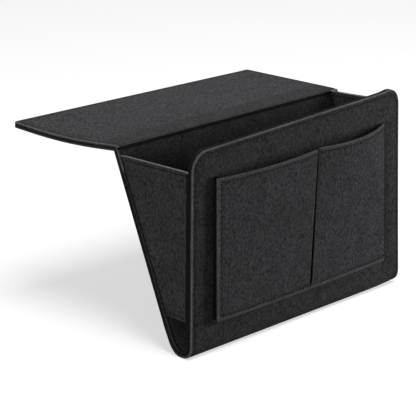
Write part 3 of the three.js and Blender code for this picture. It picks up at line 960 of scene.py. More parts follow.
@dataclass(frozen=True)
class TwistedThread:
    """Three-ply polyester sewing thread: darker than the felt, with a faint gloss along its twist."""

    name: str = "twisted_polyester_thread"
    body: str = "#070708"
    light: str = "#121213"

    def dress(self) -> bpy.types.Material:
        """Builds the material, which gives the eye short dark dashes with a slight ribbing.

        Returns:
            The material.
        """
        material, tree, place = blank_material(self.name)
        # The twist of the plies, 0.5 mm apart
        lie = {"Vector": place, "Rotation": (0.6, 0.4, 0.7), "Scale": (1, 1, 1)}
        laid = add_node(tree, "ShaderNodeMapping", {}, lie).outputs[0]
        pattern = {"Vector": laid, "Scale": 320, "Distortion": 1.5, "Detail": 1}
        twist = add_node(tree, "ShaderNodeTexWave", {}, pattern).outputs["Fac"]
        plies = {FACTOR: twist, FIRST: linear(self.body), SECOND: linear(self.light)}
        relief = {"Strength": 0.5, "Distance": 0.0001, "Height": twist}
        surface = {
            "Base Color": add_node(tree, "ShaderNodeMix", MIX_COLOURS, plies).outputs[MIXED],
            "Roughness": 0.6,
            "Specular IOR Level": 0.4,
            "Sheen Weight": 0.1,
            "Normal": add_node(tree, "ShaderNodeBump", {}, relief).outputs[0],
        }
        shader = add_node(tree, "ShaderNodeBsdfPrincipled", {}, surface)
        add_node(tree, "ShaderNodeOutputMaterial", {}, {"Surface": shader.outputs[0]})
        return material


@dataclass(frozen=True)
class BoardSheet:
    """Extruded polypropylene board, pale grey, with the fine grain of its roller."""

    name: str = "polypropylene_board"
    body: str = "#b9b9b2"
    shade: str = "#a5a59f"

    def dress(self) -> bpy.types.Material:
        """Builds the material, which gives the eye a dull sheet with a faint leather grain.

        Returns:
            The material.
        """
        material, tree, place = blank_material(self.name)
        # Roller grain, 0.8 mm across
        grain = add_node(tree, "ShaderNodeTexVoronoi", {}, {"Vector": place, "Scale": 1250}).outputs["Distance"]
        greys = {FACTOR: grain, FIRST: linear(self.shade), SECOND: linear(self.body)}
        relief = {"Strength": 0.3, "Distance": 0.0001, "Height": grain}
        surface = {
            "Base Color": add_node(tree, "ShaderNodeMix", MIX_COLOURS, greys).outputs[MIXED],
            "Roughness": 0.55,
            "IOR": 1.49,
            "Normal": add_node(tree, "ShaderNodeBump", {}, relief).outputs[0],
        }
        shader = add_node(tree, "ShaderNodeBsdfPrincipled", {}, surface)
        add_node(tree, "ShaderNodeOutputMaterial", {}, {"Surface": shader.outputs[0]})
        return material


@dataclass(frozen=True)
class Finish:
    """A finished material, with the record's material slot that it belongs to."""

    material: bpy.types.Material
    slot: str


@dataclass(frozen=True)
class Wardrobe:
    """The caddy's finishes."""

    felt: Finish
    flap: Finish
    pocket: Finish
    wall: Finish
    thread: Finish
    board: Finish

    @classmethod
    def make(cls) -> "Wardrobe":
        """Builds each finish once, the felts from their greys: body, clump, fleck, shade and rim.

        Returns:
            The finishes.
        """
        felt = NeedledFelt("needled_felt", "#565658", "#2b2b2d", "#68686b", "#1b1b1c", "#a8a8ab")
        flap = NeedledFelt("needled_flap_felt", "#68686b", "#1d1d1f", "#7a7a7d", "#1b1b1c", "#a8a8ab")
        # The pockets' felt is mixed lighter than the band's as painted light, because the pockets catch more light than
        # the front around them
        pocket = NeedledFelt("needled_pocket_felt", "#606063", "#2f2f31", "#737376", "#1d1d1e", "#a8a8ab")
        # The pockets' walls are coloured near black as painted shade, for the shade in the recesses behind the panels
        wall = NeedledFelt("needled_black_felt", "#0f0f10", "#080809", "#161617", "#060607", "#161617")
        return cls(
            felt=Finish(felt.dress(), "felt"),
            flap=Finish(flap.dress(), "flap_felt"),
            pocket=Finish(pocket.dress(), "pocket_felt"),
            wall=Finish(wall.dress(), "pocket_felt"),
            thread=Finish(TwistedThread().dress(), "thread"),
            board=Finish(BoardSheet().dress(), "stiffener"),
        )


@dataclass
class SubAssembly:
    """What every sub-assembly shares: the band it belongs to, the finishes and the thread."""

    band: Band
    wardrobe: Wardrobe
    stitching: Stitching

    def finish(self, piece: bpy.types.Object, finish: Finish, nodes: Sequence[str], body: str) -> bpy.types.Object:
        """Dresses a piece, lets it stand for its nodes and lets it ride on its body.

        Args:
            piece: The finished mesh.
            finish: Its finish.
            nodes: The CAD nodes that it replaces.
            body: The body that it rides on, or nothing, where it rides on no body.

        Returns:
            The piece.
        """
        piece.data.materials.clear()
        piece.data.materials.append(finish.material)
        if nodes:
            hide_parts(*nodes)
        if body:
            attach(piece, body)
        log.info("%s: %d faces", piece.name, len(piece.data.polygons))
        return piece

    def sheet(
        self, shape: SheetShape, place: Place, finish: Finish, node: str, body: str = "", sinking: Sinking | None = None
    ) -> bpy.types.Object:
        """Cuts a sheet out, lays it into place and finishes it.

        Args:
            shape: How the sheet is cut and worked.
            place: Gives the row frame's point for a place on the flat sheet.
            finish: Its finish.
            node: The CAD node that it replaces.
            body: The body that it rides on, or nothing, where it rides on no body.
            sinking: Gives a further sinking of the showing face at a place, if there is one.

        Returns:
            The sheet.
        """
        piece = shape.cut_out()
        shape.lay(piece, place, sinking)
        return self.finish(piece, finish, [node], body)

    def sewn(self, name: str, rows: Iterable[Row], nodes: Sequence[str], body: str = "") -> bpy.types.Object:
        """Sews rows of stitches and finishes them.

        Args:
            name: The piece's name.
            rows: The rows of stitches.
            nodes: The CAD nodes that the piece replaces.
            body: The body that it rides on, or nothing, where it rides on no body.

        Returns:
            The piece.
        """
        return self.finish(self.stitching.sew(name, rows), self.wardrobe.thread, nodes, body)

    def seam_across(self, side: Side) -> float:
        """Gives X of the band's seam on one side."""
        return side.value * (self.band.cut.half - self.band.cut.seam_inset)

    def band_place(self, face: Face) -> Place:
        """Gives the place function of a band sheet that shows on one face, or of a board behind the inside one.

        Args:
            face: The face that it shows on.

        Returns:
            A function of across, run and height.
        """
        cut = self.band.cut
        if face is Face.OUTSIDE:
            return lambda across, run, height: self.band.place(across, run, cut.felt - height)
        return lambda across, run, height: self.band.place(across, run, cut.felt + cut.layer_gap + height)

    def band_row(self, line: Line, face: Face) -> Row:
        """Gives the row of stitches along a line on one face of the band."""
        return line, self.band_place(face), self.band.cut.thread

    def columns(self) -> tuple[float, ...]:
        """Gives the slices across the whole band: beside both seams, and evenly between them."""
        cut = self.band.cut
        inner = cut.half - cut.edge_zone
        return seam_lines(-cut.half, cut.half) + spread(-inner, inner, cut.slice_step)

    def bed(self, low: float, high: float) -> tuple[float, float, float, float]:
        """Gives the bed that a stiffener lies in, with its room all round.

        Args:
            low: Where the board starts along the band.
            high: Where it ends.

        Returns:
            The bed's left, right, low and high.
        """
        room = self.band.cut.layer_gap
        half = self.band.cut.half - self.band.cut.board_inset + room
        return -half, half, low - room, high + room

    def stiffener(self, panel: str, low: float, high: float) -> None:
        """Makes the stiff board between the felts of one panel.

        Args:
            panel: The panel, which is also the name of its body.
            low: Where the board starts along the band.
            high: Where it ends.
        """
        cut = self.band.cut
        half = cut.half - cut.board_inset
        shape = SheetShape(
            name=f"{panel}_stiffener",
            outline=Outline(-half, half, low, high, corner=8.0),
            thickness=cut.board,
            rim=0.15,
            under_rim=0.15,
            columns=spread(-half, half, 25),
            rows=spread(low, high, 25),
            groove_inset=None,
        )
        self.sheet(shape, self.band_place(Face.INSIDE), self.wardrobe.board, f"{panel}_board", panel)


@dataclass
class Flap(SubAssembly):
    """The flap that lies under the mattress: two felts, a board and a seam round three sides."""

    def build(self) -> None:
        """Builds the flap's pieces."""
        cut = self.band.cut
        low, high = self.band.flap_start + cut.crease_leg, self.band.flap_end
        outline = Outline(-cut.half, cut.half, low, high, corner=cut.flap_corner, runs_on_low=True)
        rows = seam_lines(low, high, from_low=False) + spread(low, high - cut.edge_zone, cut.slice_step)
        bed = self.bed(-math.inf, high - cut.board_inset)
        for name, face in (("upper", Face.INSIDE), ("lower", Face.OUTSIDE)):
            node = "flap_top" if face is Face.INSIDE else "flap_under"
            beds = (bed,) if face is Face.INSIDE else ()
            shape = SheetShape(f"flap_{name}_sheet", outline, columns=self.columns(), rows=rows, beds=beds)
            self.sheet(shape, self.band_place(face), self.wardrobe.flap, f"{node}_felt", "flap")
            seam = self.band_row(outline.seam(cut.seam_inset), face)
            self.sewn(f"flap_{name}_stitches", [seam], [f"{node}_thread"], "flap")
        self.stiffener("flap", self.band.flap_start + cut.board_from_fold, high - cut.board_inset)


@dataclass
class Crease(SubAssembly):
    """The pressed fold where both felts turn from the back into the flap, under the lip of the flap's flat top."""

    # How far beyond the fold, on each side, the unused ends of a bend are worked out
    blend_leg: float = 14.0
    # The lip: where it starts round the fold, how far it droops there and over what reach
    lip_start: float = 2.4
    lip_droop: float = 0.8
    lip_reach: float = 1.6
    # How far the felt is pressed in under the lip, how far below the lip's start and over what reach
    press: float = 1.5
    press_below: float = 1.2
    press_reach: float = 1.7
    # How far below the fold its close slices start
    run_up: float = 6.0

    def pressed_fold(self, across: float, run: float, height: float) -> float:
        """Gives how far the fold's inside face is pressed in under the lip that the flap's flat top ends in.

        Args:
            across: Not used.
            run: Its place along the band.
            height: Its height above the sewn-in face.

        Returns:
            The distance in, in millimetres, below zero where the lip stands out.
        """
        cut = self.band.cut
        if height < cut.felt - SKIN:
            return 0.0
        radius = cut.crease_radius + cut.band
        full = (math.pi / 2 - cut.lean) * radius
        arc = (run - self.band.back_end) / cut.crease_run * full
        if arc >= full:
            return 0.0
        if arc > self.lip_start:
            lip = radius * (1 / math.cos((full - arc) / radius) - 1)
            return self.lip_droop * bell(arc - self.lip_start, self.lip_reach) - lip
        return self.press * bell(arc - self.lip_start + self.press_below, self.press_reach)

    def bend_with_flap(self, piece: bpy.types.Object) -> None:
        """Bakes a piece's placing into its mesh; the ends of a bend between the flap and the back are worked out but
        not used.
        """
        start = self.band.place(0, self.band.flap_start + self.blend_leg, 0)
        end = self.band.place(0, self.band.back_end - self.blend_leg, 0)
        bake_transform(piece)

    def build(self) -> None:
        """Builds the fold's two felts and its stitches."""
        cut = self.band.cut
        back_end, flap_start = self.band.back_end, self.band.flap_start
        low, high = back_end - cut.crease_leg, flap_start + cut.crease_leg
        outline = Outline(-cut.half, cut.half, low, high, runs_on_low=True, runs_on_high=True)
        # The slices get closer towards the fold
        rows = spread(low, back_end - self.run_up, 4) + spread(flap_start + 2, high, 4)
        rows += spread(back_end - self.run_up, back_end + 0.1, 0.7) + spread(back_end - 0.2, flap_start + 0.2, 0.3)
        rows += (back_end - self.run_up, flap_start + 1.2)
        beds = (
            self.bed(-math.inf, back_end - cut.board_from_fold),
            self.bed(flap_start + cut.board_from_fold, math.inf),
        )
        seams = []
        for name, face, node in (
            ("crease_lining_sheet", Face.INSIDE, "crease_inner_felt"),
            ("crease_cover_sheet", Face.OUTSIDE, "crease_outer_felt"),
        ):
            inside = face is Face.INSIDE
            shape = SheetShape(name, outline, columns=self.columns(), rows=rows, beds=beds if inside else ())
            # The lining is pressed in under the lip and darkened there as painted shade
            sinking = self.pressed_fold if inside else None
            self.bend_with_flap(self.sheet(shape, self.band_place(face), self.wardrobe.felt, node, sinking=sinking))
            for side in Side:
                across = self.seam_across(side)
                seams.append(self.band_row([(across, flap_start + 1), (across, high)], face))
                if not inside:
                    seams.append(self.band_row([(across, low), (across, back_end - 1)], face))
        self.bend_with_flap(self.sewn("crease_stitches", seams, []))


@dataclass
class Back(SubAssembly):
    """The back panel, which leans away from the front: two felts, a board and a seam along each side."""

    def build(self) -> None:
        """Builds the back's pieces."""
        cut = self.band.cut
        low, high = self.band.bend_run, self.band.back_end - cut.crease_leg
        outline = Outline(-cut.half, cut.half, low, high, runs_on_low=True, runs_on_high=True)
        rows = spread(low, high, cut.slice_step)
        board_low = low + cut.board_inset
        for name, face, node in (
            ("back_cover_sheet", Face.OUTSIDE, "back_outer_felt"),
            ("back_lining_sheet", Face.INSIDE, "back_inner_felt"),
        ):
            beds = (self.bed(board_low, math.inf),) if face is Face.INSIDE else ()
            # The back's cut rims get almost no painted highlight, because the back lies in shade
            shape = SheetShape(name, outline, columns=self.columns(), rows=rows, beds=beds, rim_highlight=0.05)
            self.sheet(shape, self.band_place(face), self.wardrobe.felt, node, "back")
        self.stiffener("back", board_low, self.band.back_end - cut.board_from_fold)
        for side in Side:
            name, across = side.name.lower(), self.seam_across(side)
            row = self.band_row([(across, low), (across, high)], Face.OUTSIDE)
            self.sewn(f"back_{name}_stitches", [row], [f"back_{name}_thread"], "back")


@dataclass
class Bend(SubAssembly):
    """The round bend at the bottom, where the band turns from the back into the front."""

    # How far apart the bend's slices lie, and how far before its ends the stitches stop
    slice_step: float = 2.6
    row_inset: float = 0.5

    def bend_with_front(self, piece: bpy.types.Object) -> None:
        """Bakes a piece's placing into its mesh; the ends of a bend between the back and the front are worked out but
        not used.
        """
        start, end = self.band.place(0, self.band.bend_run, 0), self.band.place(0, 0, 0)
        tuple(start)
        tuple(end)
        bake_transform(piece)

    def build(self) -> None:
        """Builds the bend's two felts and its stitches."""
        cut = self.band.cut
        high = self.band.bend_run
        outline = Outline(-cut.half, cut.half, 0, high, runs_on_low=True, runs_on_high=True)
        for name, face, node in (
            ("bend_cover_sheet", Face.OUTSIDE, "bend_outer_felt"),
            ("bend_lining_sheet", Face.INSIDE, "bend_inner_felt"),
        ):
            outside = face is Face.OUTSIDE
            shape = SheetShape(
                name=name,
                outline=outline,
                columns=self.columns(),
                rows=spread(0, high, self.slice_step),
                # Painted highlight on the cover's cut rims, fading towards the back, and deeper painted shade on the
                # lining's cut faces
                rim_highlight=1.0 if outside else 0.0,
                rim_highlight_high=0.15 if outside else 0.0,
                side_shade=0.5 if outside else 1.2,
            )
            self.bend_with_front(self.sheet(shape, self.band_place(face), self.wardrobe.felt, node))
        for side in Side:
            name, across = side.name.lower(), self.seam_across(side)
            line = [(across, self.row_inset), (across, high - self.row_inset)]
            rows = [self.band_row(line, face) for face in Face]
            self.bend_with_front(self.sewn(f"bend_{name}_stitches", rows, [f"bend_{name}_thread"]))


@dataclass
class Front(SubAssembly):
    """The front panel with its rounded top corners: two felts, a board and a seam along the edge."""

    # Z of the gussets' hem, and where the right pocket's edge runs, from where to where
    gusset_top: float = 195.0
    pocket_edge: float = 131.5
    pocket_low: float = 31.0
    pocket_high: float = 184.0
    # How far that edge's seam presses the front down, how far beside the edge and over what reach
    press: float = 1.0
    press_off: float = 0.9
    press_reach: float = 1.0

    def pressed_beside_pocket(self, across: float, run: float, height: float) -> float:
        """Gives how far the front is pressed down by the seam along the right pocket's edge.

        Args:
            across: The place's X in the flat sheet.
            run: Its place along the band.
            height: Its height above the sewn-in face.

        Returns:
            The distance down, in millimetres.
        """
        cut = self.band.cut
        if height < cut.felt - SKIN or not self.pocket_low < cut.bend_radius - run < self.pocket_high:
            return 0.0
        return self.press * bell(across - self.pocket_edge - self.press_off, self.press_reach)

    def build(self) -> None:
        """Builds the front's pieces."""
        cut = self.band.cut
        outline = Outline(-cut.half, cut.half, -cut.front_rise, 0, corner=cut.front_corner, runs_on_high=True)
        inner = cut.half - cut.edge_zone
        columns = spread(-inner, inner, cut.slice_step)
        columns += tuple(self.pocket_edge + step for step in (-0.9, 0.0, 0.8, 1.6, 2.5))
        board_low, board_high = outline.low + cut.board_inset, -cut.board_inset
        for name, face, node in (
            ("front_cover_sheet", Face.OUTSIDE, "front_outer_felt"),
            ("front_lining_sheet", Face.INSIDE, "front_inner_felt"),
        ):
            outside = face is Face.OUTSIDE
            shape = SheetShape(
                name=name,
                outline=outline,
                rings=SEAM_STEPS,
                columns=columns,
                rows=spread(outline.low + cut.edge_zone, outline.high, cut.slice_step),
                beds=() if outside else (self.bed(board_low, board_high),),
                # Painted highlight on the cover's cut rims, and deeper painted shade on the lining's cut faces
                rim_highlight=1.0 if outside else 0.0,
                side_shade=0.5 if outside else 1.2,
            )
            # Beside the right pocket's edge the cover is pressed down and darkened there as painted shadow
            sinking = self.pressed_beside_pocket if outside else None
            self.sheet(shape, self.band_place(face), self.wardrobe.felt, node, "front", sinking)
        self.stiffener("front", board_low, board_high)
        seam = outline.seam(cut.seam_inset)
        needle = self.band_row(seam, Face.OUTSIDE)
        self.sewn("front_edge_stitches", [needle], ["front_edge_thread"], "front")
        # On the lining the thread shows above the gussets alone
        above = cut.bend_radius - self.gusset_top - 2
        line = [(seam[1][0], above), *seam[1:-1], (seam[-2][0], above)]
        self.sewn("front_lining_stitches", [self.band_row(line, Face.INSIDE)], [], "front")


@dataclass
class Gusset(SubAssembly):
    """A side gusset: one felt that closes the wedge between front and back and turns out along both."""

    side: Side = Side.LEFT
    # How far the web is set in from the band's edge, and the flanges' cut edges
    front_inset: float = 1.0
    left_back_inset: float = 1.0
    right_back_inset: float = 7.5
    edge_inset: float = 0.4
    # Z of the hem and of the foot, at the front and at the back
    left_top: tuple[float, float] = (195.0, 190.0)
    right_top: tuple[float, float] = (197.5, 198.0)
    foot_front: float = 38.3
    foot_back: float = 38.6
    # The radius of a flange's fold, the flat web's width and how far it sags inwards
    fold: float = 1.8
    web: float = 60.0
    sag: float = 1.4
    # The seams of the hem and the foot
    groove: float = 0.5
    groove_reach: float = 0.62
    row_inset: float = 0.5
    thread_heights: tuple[float, float] = (2.75, 0.1)
    # Where the gusset would close up between the back and the front: only worked out, not used
    hinge: tuple[float, float, float] = (0.0, 37.0, 115.0)
    hinge_reach: float = 37.5

    def height(self, share: float, run: float) -> float:
        """Gives how high a place of the gusset lies.

        Args:
            share: Its share of the way from front to back.
            run: Its place along the flat gusset, from the foot up.

        Returns:
            Z in millimetres.
        """
        top_front, top_back = self.left_top if self.side is Side.LEFT else self.right_top
        foot = self.foot_front + (self.foot_back - self.foot_front) * share
        top = top_front + (top_back - top_front) * share
        return foot + (top - foot) * run / self.length

    @property
    def length(self) -> float:
        """The flat gusset's length from foot to hem."""
        return self.left_top[0] - self.foot_front

    @property
    def back_inset(self) -> float:
        """How far the web is set in from the edge where it meets the back."""
        return self.left_back_inset if self.side is Side.LEFT else self.right_back_inset

    def flange(self, inset: float) -> float:
        """Gives the straight part of a turned-out flange where the web is set in this far from the edge."""
        return inset - self.edge_inset + self.band.cut.felt / 2 - self.fold

    @property
    def turn(self) -> float:
        """The length of felt in one fold, along its middle."""
        return self.fold * math.pi / 2

    @property
    def web_start(self) -> float:
        """Where the web starts, beyond the front flange and its fold."""
        return self.flange(self.front_inset) + self.turn

    @property
    def flat_width(self) -> float:
        """The flat gusset's width over both flanges, both folds and the web."""
        return self.web_start + self.web + self.turn + self.flange(self.back_inset)

    def place(self, across: float, run: float, height: float) -> Vector:
        """Lays out a place on the flat gusset, whose showing face turns out of the pouch.

        Args:
            across: Its X in the flat sheet, from the front flange to the back one.
            run: Its Y, from the foot to the hem.
            height: Its height above the sewn-in face.

        Returns:
            The point in the row frame, in metres.
        """
        cut = self.band.cut
        lift = height - cut.felt / 2
        mirrored = across > self.web_start + self.web / 2
        local = self.flat_width - across if mirrored else across
        flange = self.flange(self.back_inset if mirrored else self.front_inset)
        share = clamp((across - self.web_start) / self.web)
        z = self.height(share, run)
        near = cut.band + cut.layer_gap + cut.felt / 2
        far = self.band.back_face(z) - near / math.cos(cut.lean)
        web_x = cut.half - (self.front_inset + (self.back_inset - self.front_inset) * share) - cut.felt / 2
        if local >= flange + self.turn:
            slack = self.sag * math.sin(math.pi * share) * math.sin(math.pi * clamp(run / self.length))
            y = near + self.fold + (far - self.fold / math.cos(cut.lean) - near - self.fold) * share
            return self.band.row(Vector((self.side.value * (web_x + lift - slack), y, z)))
        if local < flange:
            x, along = cut.half - self.edge_inset - local, lift
        else:
            angle = (local - flange) / self.fold
            radius = self.fold - lift
            x, along = web_x + self.fold - radius * math.sin(angle), self.fold - radius * math.cos(angle)
        y = far - along / math.cos(cut.lean) if mirrored else near + along
        return self.band.row(Vector((self.side.value * x, y, z)))

    def bend_with_front(self, piece: bpy.types.Object) -> None:
        """Bakes a piece's placing into its mesh; the ends of a hinge between the back and the front are worked out but
        not used.

        Args:
            piece: The gusset or a row of its stitches.
        """
        lean = self.band.cut.lean / 2
        across = Vector((0.0, math.cos(lean), -math.sin(lean)))
        reaches = (self.hinge_reach, -self.hinge_reach)
        start, end = (self.band.row(Vector(self.hinge) + across * reach) for reach in reaches)
        tuple(start)
        tuple(end)
        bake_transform(piece)

    def drawn_in(self, across: float, run: float, height: float) -> float:
        """Gives how far the hem's and the foot's seams draw the web in.

        Args:
            across: The place's X in the flat sheet.
            run: Its Y.
            height: Its height above the sewn-in face.

        Returns:
            The distance in, in millimetres.
        """
        cut = self.band.cut
        if height < cut.felt - SKIN or not self.web_start < across < self.web_start + self.web:
            return 0.0
        return self.groove * bell(min(run, self.length - run) - cut.seam_inset, self.groove_reach)

    def build(self) -> None:
        """Builds the gusset and its two rows of stitches."""
        cut = self.band.cut
        side = self.side.name.lower()
        start, end = self.web_start, self.web_start + self.web
        folds = spread(start - self.turn, start, 0.55) + spread(end, end + self.turn, 0.55)
        shape = SheetShape(
            name=f"gusset_{side}_sheet",
            outline=Outline(0, self.flat_width, 0, self.length),
            rim=0.8,
            under_rim=0.8,
            columns=(start - self.turn, start, end, end + self.turn) + folds + spread(start, end, 4),
            rows=seam_lines(0, self.length) + spread(cut.edge_zone, self.length - cut.edge_zone, 9),
            groove_inset=None,
            # No painted highlight on the cut rim, deep painted shade on the cut faces, and painted highlight along the
            # whole hem
            rim_highlight=0.0,
            side_shade=1.2,
            highlit_hem=True,
        )
        # The seams that draw the web in also darken it there as painted shade
        self.bend_with_front(
            self.sheet(shape, self.place, self.wardrobe.felt, f"gusset_{side}", sinking=self.drawn_in)
        )
        for name, run in (("hem", self.length - cut.seam_inset), ("foot", cut.seam_inset)):
            line = [(start + self.row_inset, run), (end - self.row_inset, run)]
            rows = [(line, self.place, height) for height in self.thread_heights]
            thread = f"gusset_{side}_{name}_thread"
            self.bend_with_front(self.sewn(f"gusset_{side}_{name}_stitches", rows, [thread]))


@dataclass
class Pockets(SubAssembly):
    """The two pockets on the front: a deep left one, a right one that runs flat, and the walls behind them."""

    left: float = -134.0
    ridge: float = 7.0
    right_start: float = 12.0
    right: float = 131.5
    low: float = 31.0
    high: float = 186.0
    seam_inset: float = 4.6
    slice_step: float = 6.0
    panel_zone: float = 11.0
    # How far the panels' outer faces stand off the front: at the foot, and how much more at the top
    side_depth: tuple[float, float] = (10.0, -2.0)
    ridge_depth: tuple[float, float] = (6.5, 10.5)
    start_depth: tuple[float, float] = (6.0, 8.0)
    flat_depth: float = 3.3
    # How far the panels belly out halfway at the top, and how fast that dies out downwards
    left_belly: float = 6.4
    right_belly: float = 12.6
    belly_fade: float = 1.5
    # How the sewn pockets have settled: the foot's slant and bow, its left end, its gap at the ridge, the right top
    foot_up: float = 0.9
    left_foot_up: float = 3.0
    left_foot_bow: float = 2.2
    right_foot_bow: float = 1.1
    left_foot_in: float = 1.1
    foot_close: float = 4.4
    close_across: float = 9.0
    close_up: float = 4.5
    right_drop: float = 2.2
    # The walls, which are cut flat at one width and then fill the depth behind the panels
    wall_width: float = 10.0
    wall_inset: float = 2.6
    divider_drop: float = 8.0
    bottom_right: float = 75.3
    wedge: float = 0.8

    def rise(self, z: float) -> float:
        """Gives the share of the pocket's height at Z."""
        return clamp((z - self.low) / (self.high - self.low))

    def foot(self, x: float, z: float) -> float:
        """Gives how far the slanting foot is lifted at a place, which dies out towards the top.

        Args:
            x: X in millimetres.
            z: Z before the lift.

        Returns:
            The distance up, in millimetres.
        """
        share = clamp((self.right - x) / (self.right - self.left))
        bowed = self.left_foot_bow * share**4 + self.right_foot_bow * (1 - share) ** 6
        return (1 - self.rise(z)) * (self.foot_up + self.left_foot_up * share + bowed)

    def aside(self, x: float, z: float) -> float:
        """Gives how far a place is moved to the right: the left edge all along, and the ridge shut at the foot.

        Args:
            x: X in millimetres.
            z: Z in millimetres.

        Returns:
            The distance, below zero to the left.
        """
        moved = self.left_foot_in * clamp((self.ridge - x) / (self.ridge - self.left))
        if x > self.ridge + 1:
            near = max(0.0, 1 - (x - self.right_start) / self.close_across)
            moved -= self.foot_close * near * bell(z - self.low, self.close_up)
        return moved

    def left_depth(self, x: float, z: float) -> float:
        """Gives how far the left pocket's outer face stands off the front.

        Args:
            x: X in millimetres.
            z: Z in millimetres.

        Returns:
            The distance in millimetres.
        """
        up = self.rise(z)
        across = clamp((x - self.left) / (self.ridge - self.left))
        side, ridge = (foot + more * up for foot, more in (self.side_depth, self.ridge_depth))
        return side + (ridge - side) * across + self.left_belly * up**self.belly_fade * 4 * across * (1 - across)

    def right_depth(self, x: float, z: float) -> float:
        """Gives how far the right pocket's outer face stands off the front.

        Args:
            x: X in millimetres.
            z: Z in millimetres.

        Returns:
            The distance in millimetres.
        """
        up = self.rise(z)
        across = clamp((x - self.right_start) / (self.right - self.right_start))
        start = self.start_depth[0] + self.start_depth[1] * up
        belly = self.right_belly * up**self.belly_fade * 4 * across * (1 - across)
        return start + (self.flat_depth - start) * across + belly

    def panel(self, side: Side, left: float, right: float, depth: Callable[[float, float], float]) -> None:
        """Makes one pocket panel and its row of stitches, which is sewn from behind along the middle ridge.

        Args:
            side: Which pocket it is.
            left: The panel's left edge.
            right: Its right edge.
            depth: How far its outer face stands off the front.
        """
        name = side.name.lower()
        cut = self.band.cut
        zone = self.panel_zone

        def place(across: float, run: float, height: float) -> Vector:
            """Gives the row frame's point for a place on the flat panel.

            Args:
                across: Its X on the front.
                run: Its Z before the foot is lifted.
                height: Its height above the panel's inner face.

            Returns:
                The point in metres.
            """
            drop = self.right_drop * self.rise(run) * max(0.0, (across - self.ridge) / (self.right - self.ridge))
            lift = self.foot(across, run) - drop
            x = across + self.aside(across, run)
            return self.band.row(Vector((x, cut.felt - height - depth(across, run), run + lift)))

        shape = SheetShape(
            name=f"pocket_{name}_sheet",
            outline=Outline(left, right, self.low, self.high, corner=1.5),
            columns=seam_lines(left, right) + spread(left + zone, right - zone, self.slice_step),
            rows=seam_lines(self.low, self.high) + spread(self.low + zone, self.high - zone, self.slice_step),
            groove_inset=self.seam_inset,
            groove_sides=(side is Side.LEFT, False),
            # Painted highlight on the panel's cut rim and on the strip outside its seam
            rim_highlight=0.65,
            strip_highlight=0.2,
        )
        self.sheet(shape, place, self.wardrobe.pocket, f"pocket_{name}_panel", "front")
        top, foot = self.high - self.seam_inset, self.low + self.seam_inset
        outer, ridge = (left + self.seam_inset, right - 1) if side is Side.LEFT else (right - 1.2, left + 1)
        line = [(ridge, top), (outer, top), (outer, foot), (ridge, foot)]
        self.sewn(f"pocket_{name}_stitches", [(line, place, cut.thread)], [f"pocket_{name}_thread"], "front")

    def wall(self, name: str, x: float, low: float, high: float, node: str) -> None:
        """Makes an upright wall between the front and the left pocket's panel.

        Args:
            name: The piece's name.
            x: The wall's left face.
            low: Where it starts.
            high: Where it ends.
            node: The CAD node that it replaces.
        """
        cut = self.band.cut

        def place(across: float, run: float, height: float) -> Vector:
            """Gives the row frame's point for a place on the flat wall.

            Args:
                across: How far it lies out from the front, of the flat wall's width.
                run: Its Z before the foot is lifted.
                height: Its height above the wall's left face.

            Returns:
                The point in metres.
            """
            reach = self.left_depth(x + cut.felt / 2, run) - cut.felt - cut.layer_gap
            y = -cut.layer_gap - (reach - cut.layer_gap) * across / self.wall_width
            return self.band.row(Vector((x + self.aside(x, run) + height, y, run + self.foot(x, run))))

        shape = SheetShape(
            name=name,
            outline=Outline(0, self.wall_width, low, high),
            rim=0.5,
            under_rim=0.5,
            columns=spread(0, self.wall_width, 2.5),
            rows=spread(low, high, 8),
            groove_inset=None,
            rim_highlight=0.0,
        )
        self.sheet(shape, place, self.wardrobe.wall, node, "front")

    def bottom_wall(self) -> None:
        """Makes the wall under both pockets, which runs out to a wedge where the right panel lies flat."""
        cut = self.band.cut
        left, right = self.left + self.wall_inset + cut.felt + cut.layer_gap, self.bottom_right

        def place(across: float, run: float, height: float) -> Vector:
            """Gives the row frame's point for a place on the flat wall.

            Args:
                across: Its X on the front.
                run: How far it lies out from the front, of the flat wall's width.
                height: Its height above the wall's under face.

            Returns:
                The point in metres.
            """
            depth = self.left_depth(across, self.low) if across < self.ridge else self.right_depth(across, self.low)
            reach = max(depth - cut.felt - 2 * cut.layer_gap, self.wedge)
            x = across + self.aside(across, self.low)
            z = self.low + height + self.foot(across, self.low)
            return self.band.row(Vector((x, -cut.layer_gap - reach * run / self.wall_width, z)))

        shape = SheetShape(
            name="pocket_bottom_sheet",
            outline=Outline(left, right, 0, self.wall_width),
            rim=0.4,
            under_rim=0.4,
            columns=spread(left, self.ridge, 8) + (self.ridge, self.right_start) + spread(self.right_start, right, 8),
            rows=spread(0, self.wall_width, 2.5),
            groove_inset=None,
        )
        self.sheet(shape, place, self.wardrobe.wall, "pocket_bottom_wall", "front")

    def build(self) -> None:
        """Builds the pockets' pieces."""
        cut = self.band.cut
        self.panel(Side.LEFT, self.left, self.ridge, self.left_depth)
        self.panel(Side.RIGHT, self.right_start, self.right, self.right_depth)
        self.wall("pocket_side_sheet", self.left + self.wall_inset, self.low, self.high, "pocket_side_wall")
        low, high = self.low + cut.felt + cut.layer_gap, self.high - self.divider_drop
        self.wall("pocket_divider_sheet", self.ridge - cut.felt, low, high, "pocket_divider")
        self.bottom_wall()


@dataclass(frozen=True)
class Lamp:
    """A square soft lamp: where it hangs and its side in metres, its power in watts and what it lights."""

    name: str
    spot: tuple[float, float, float]
    size: float
    power: float
    onto: Lit


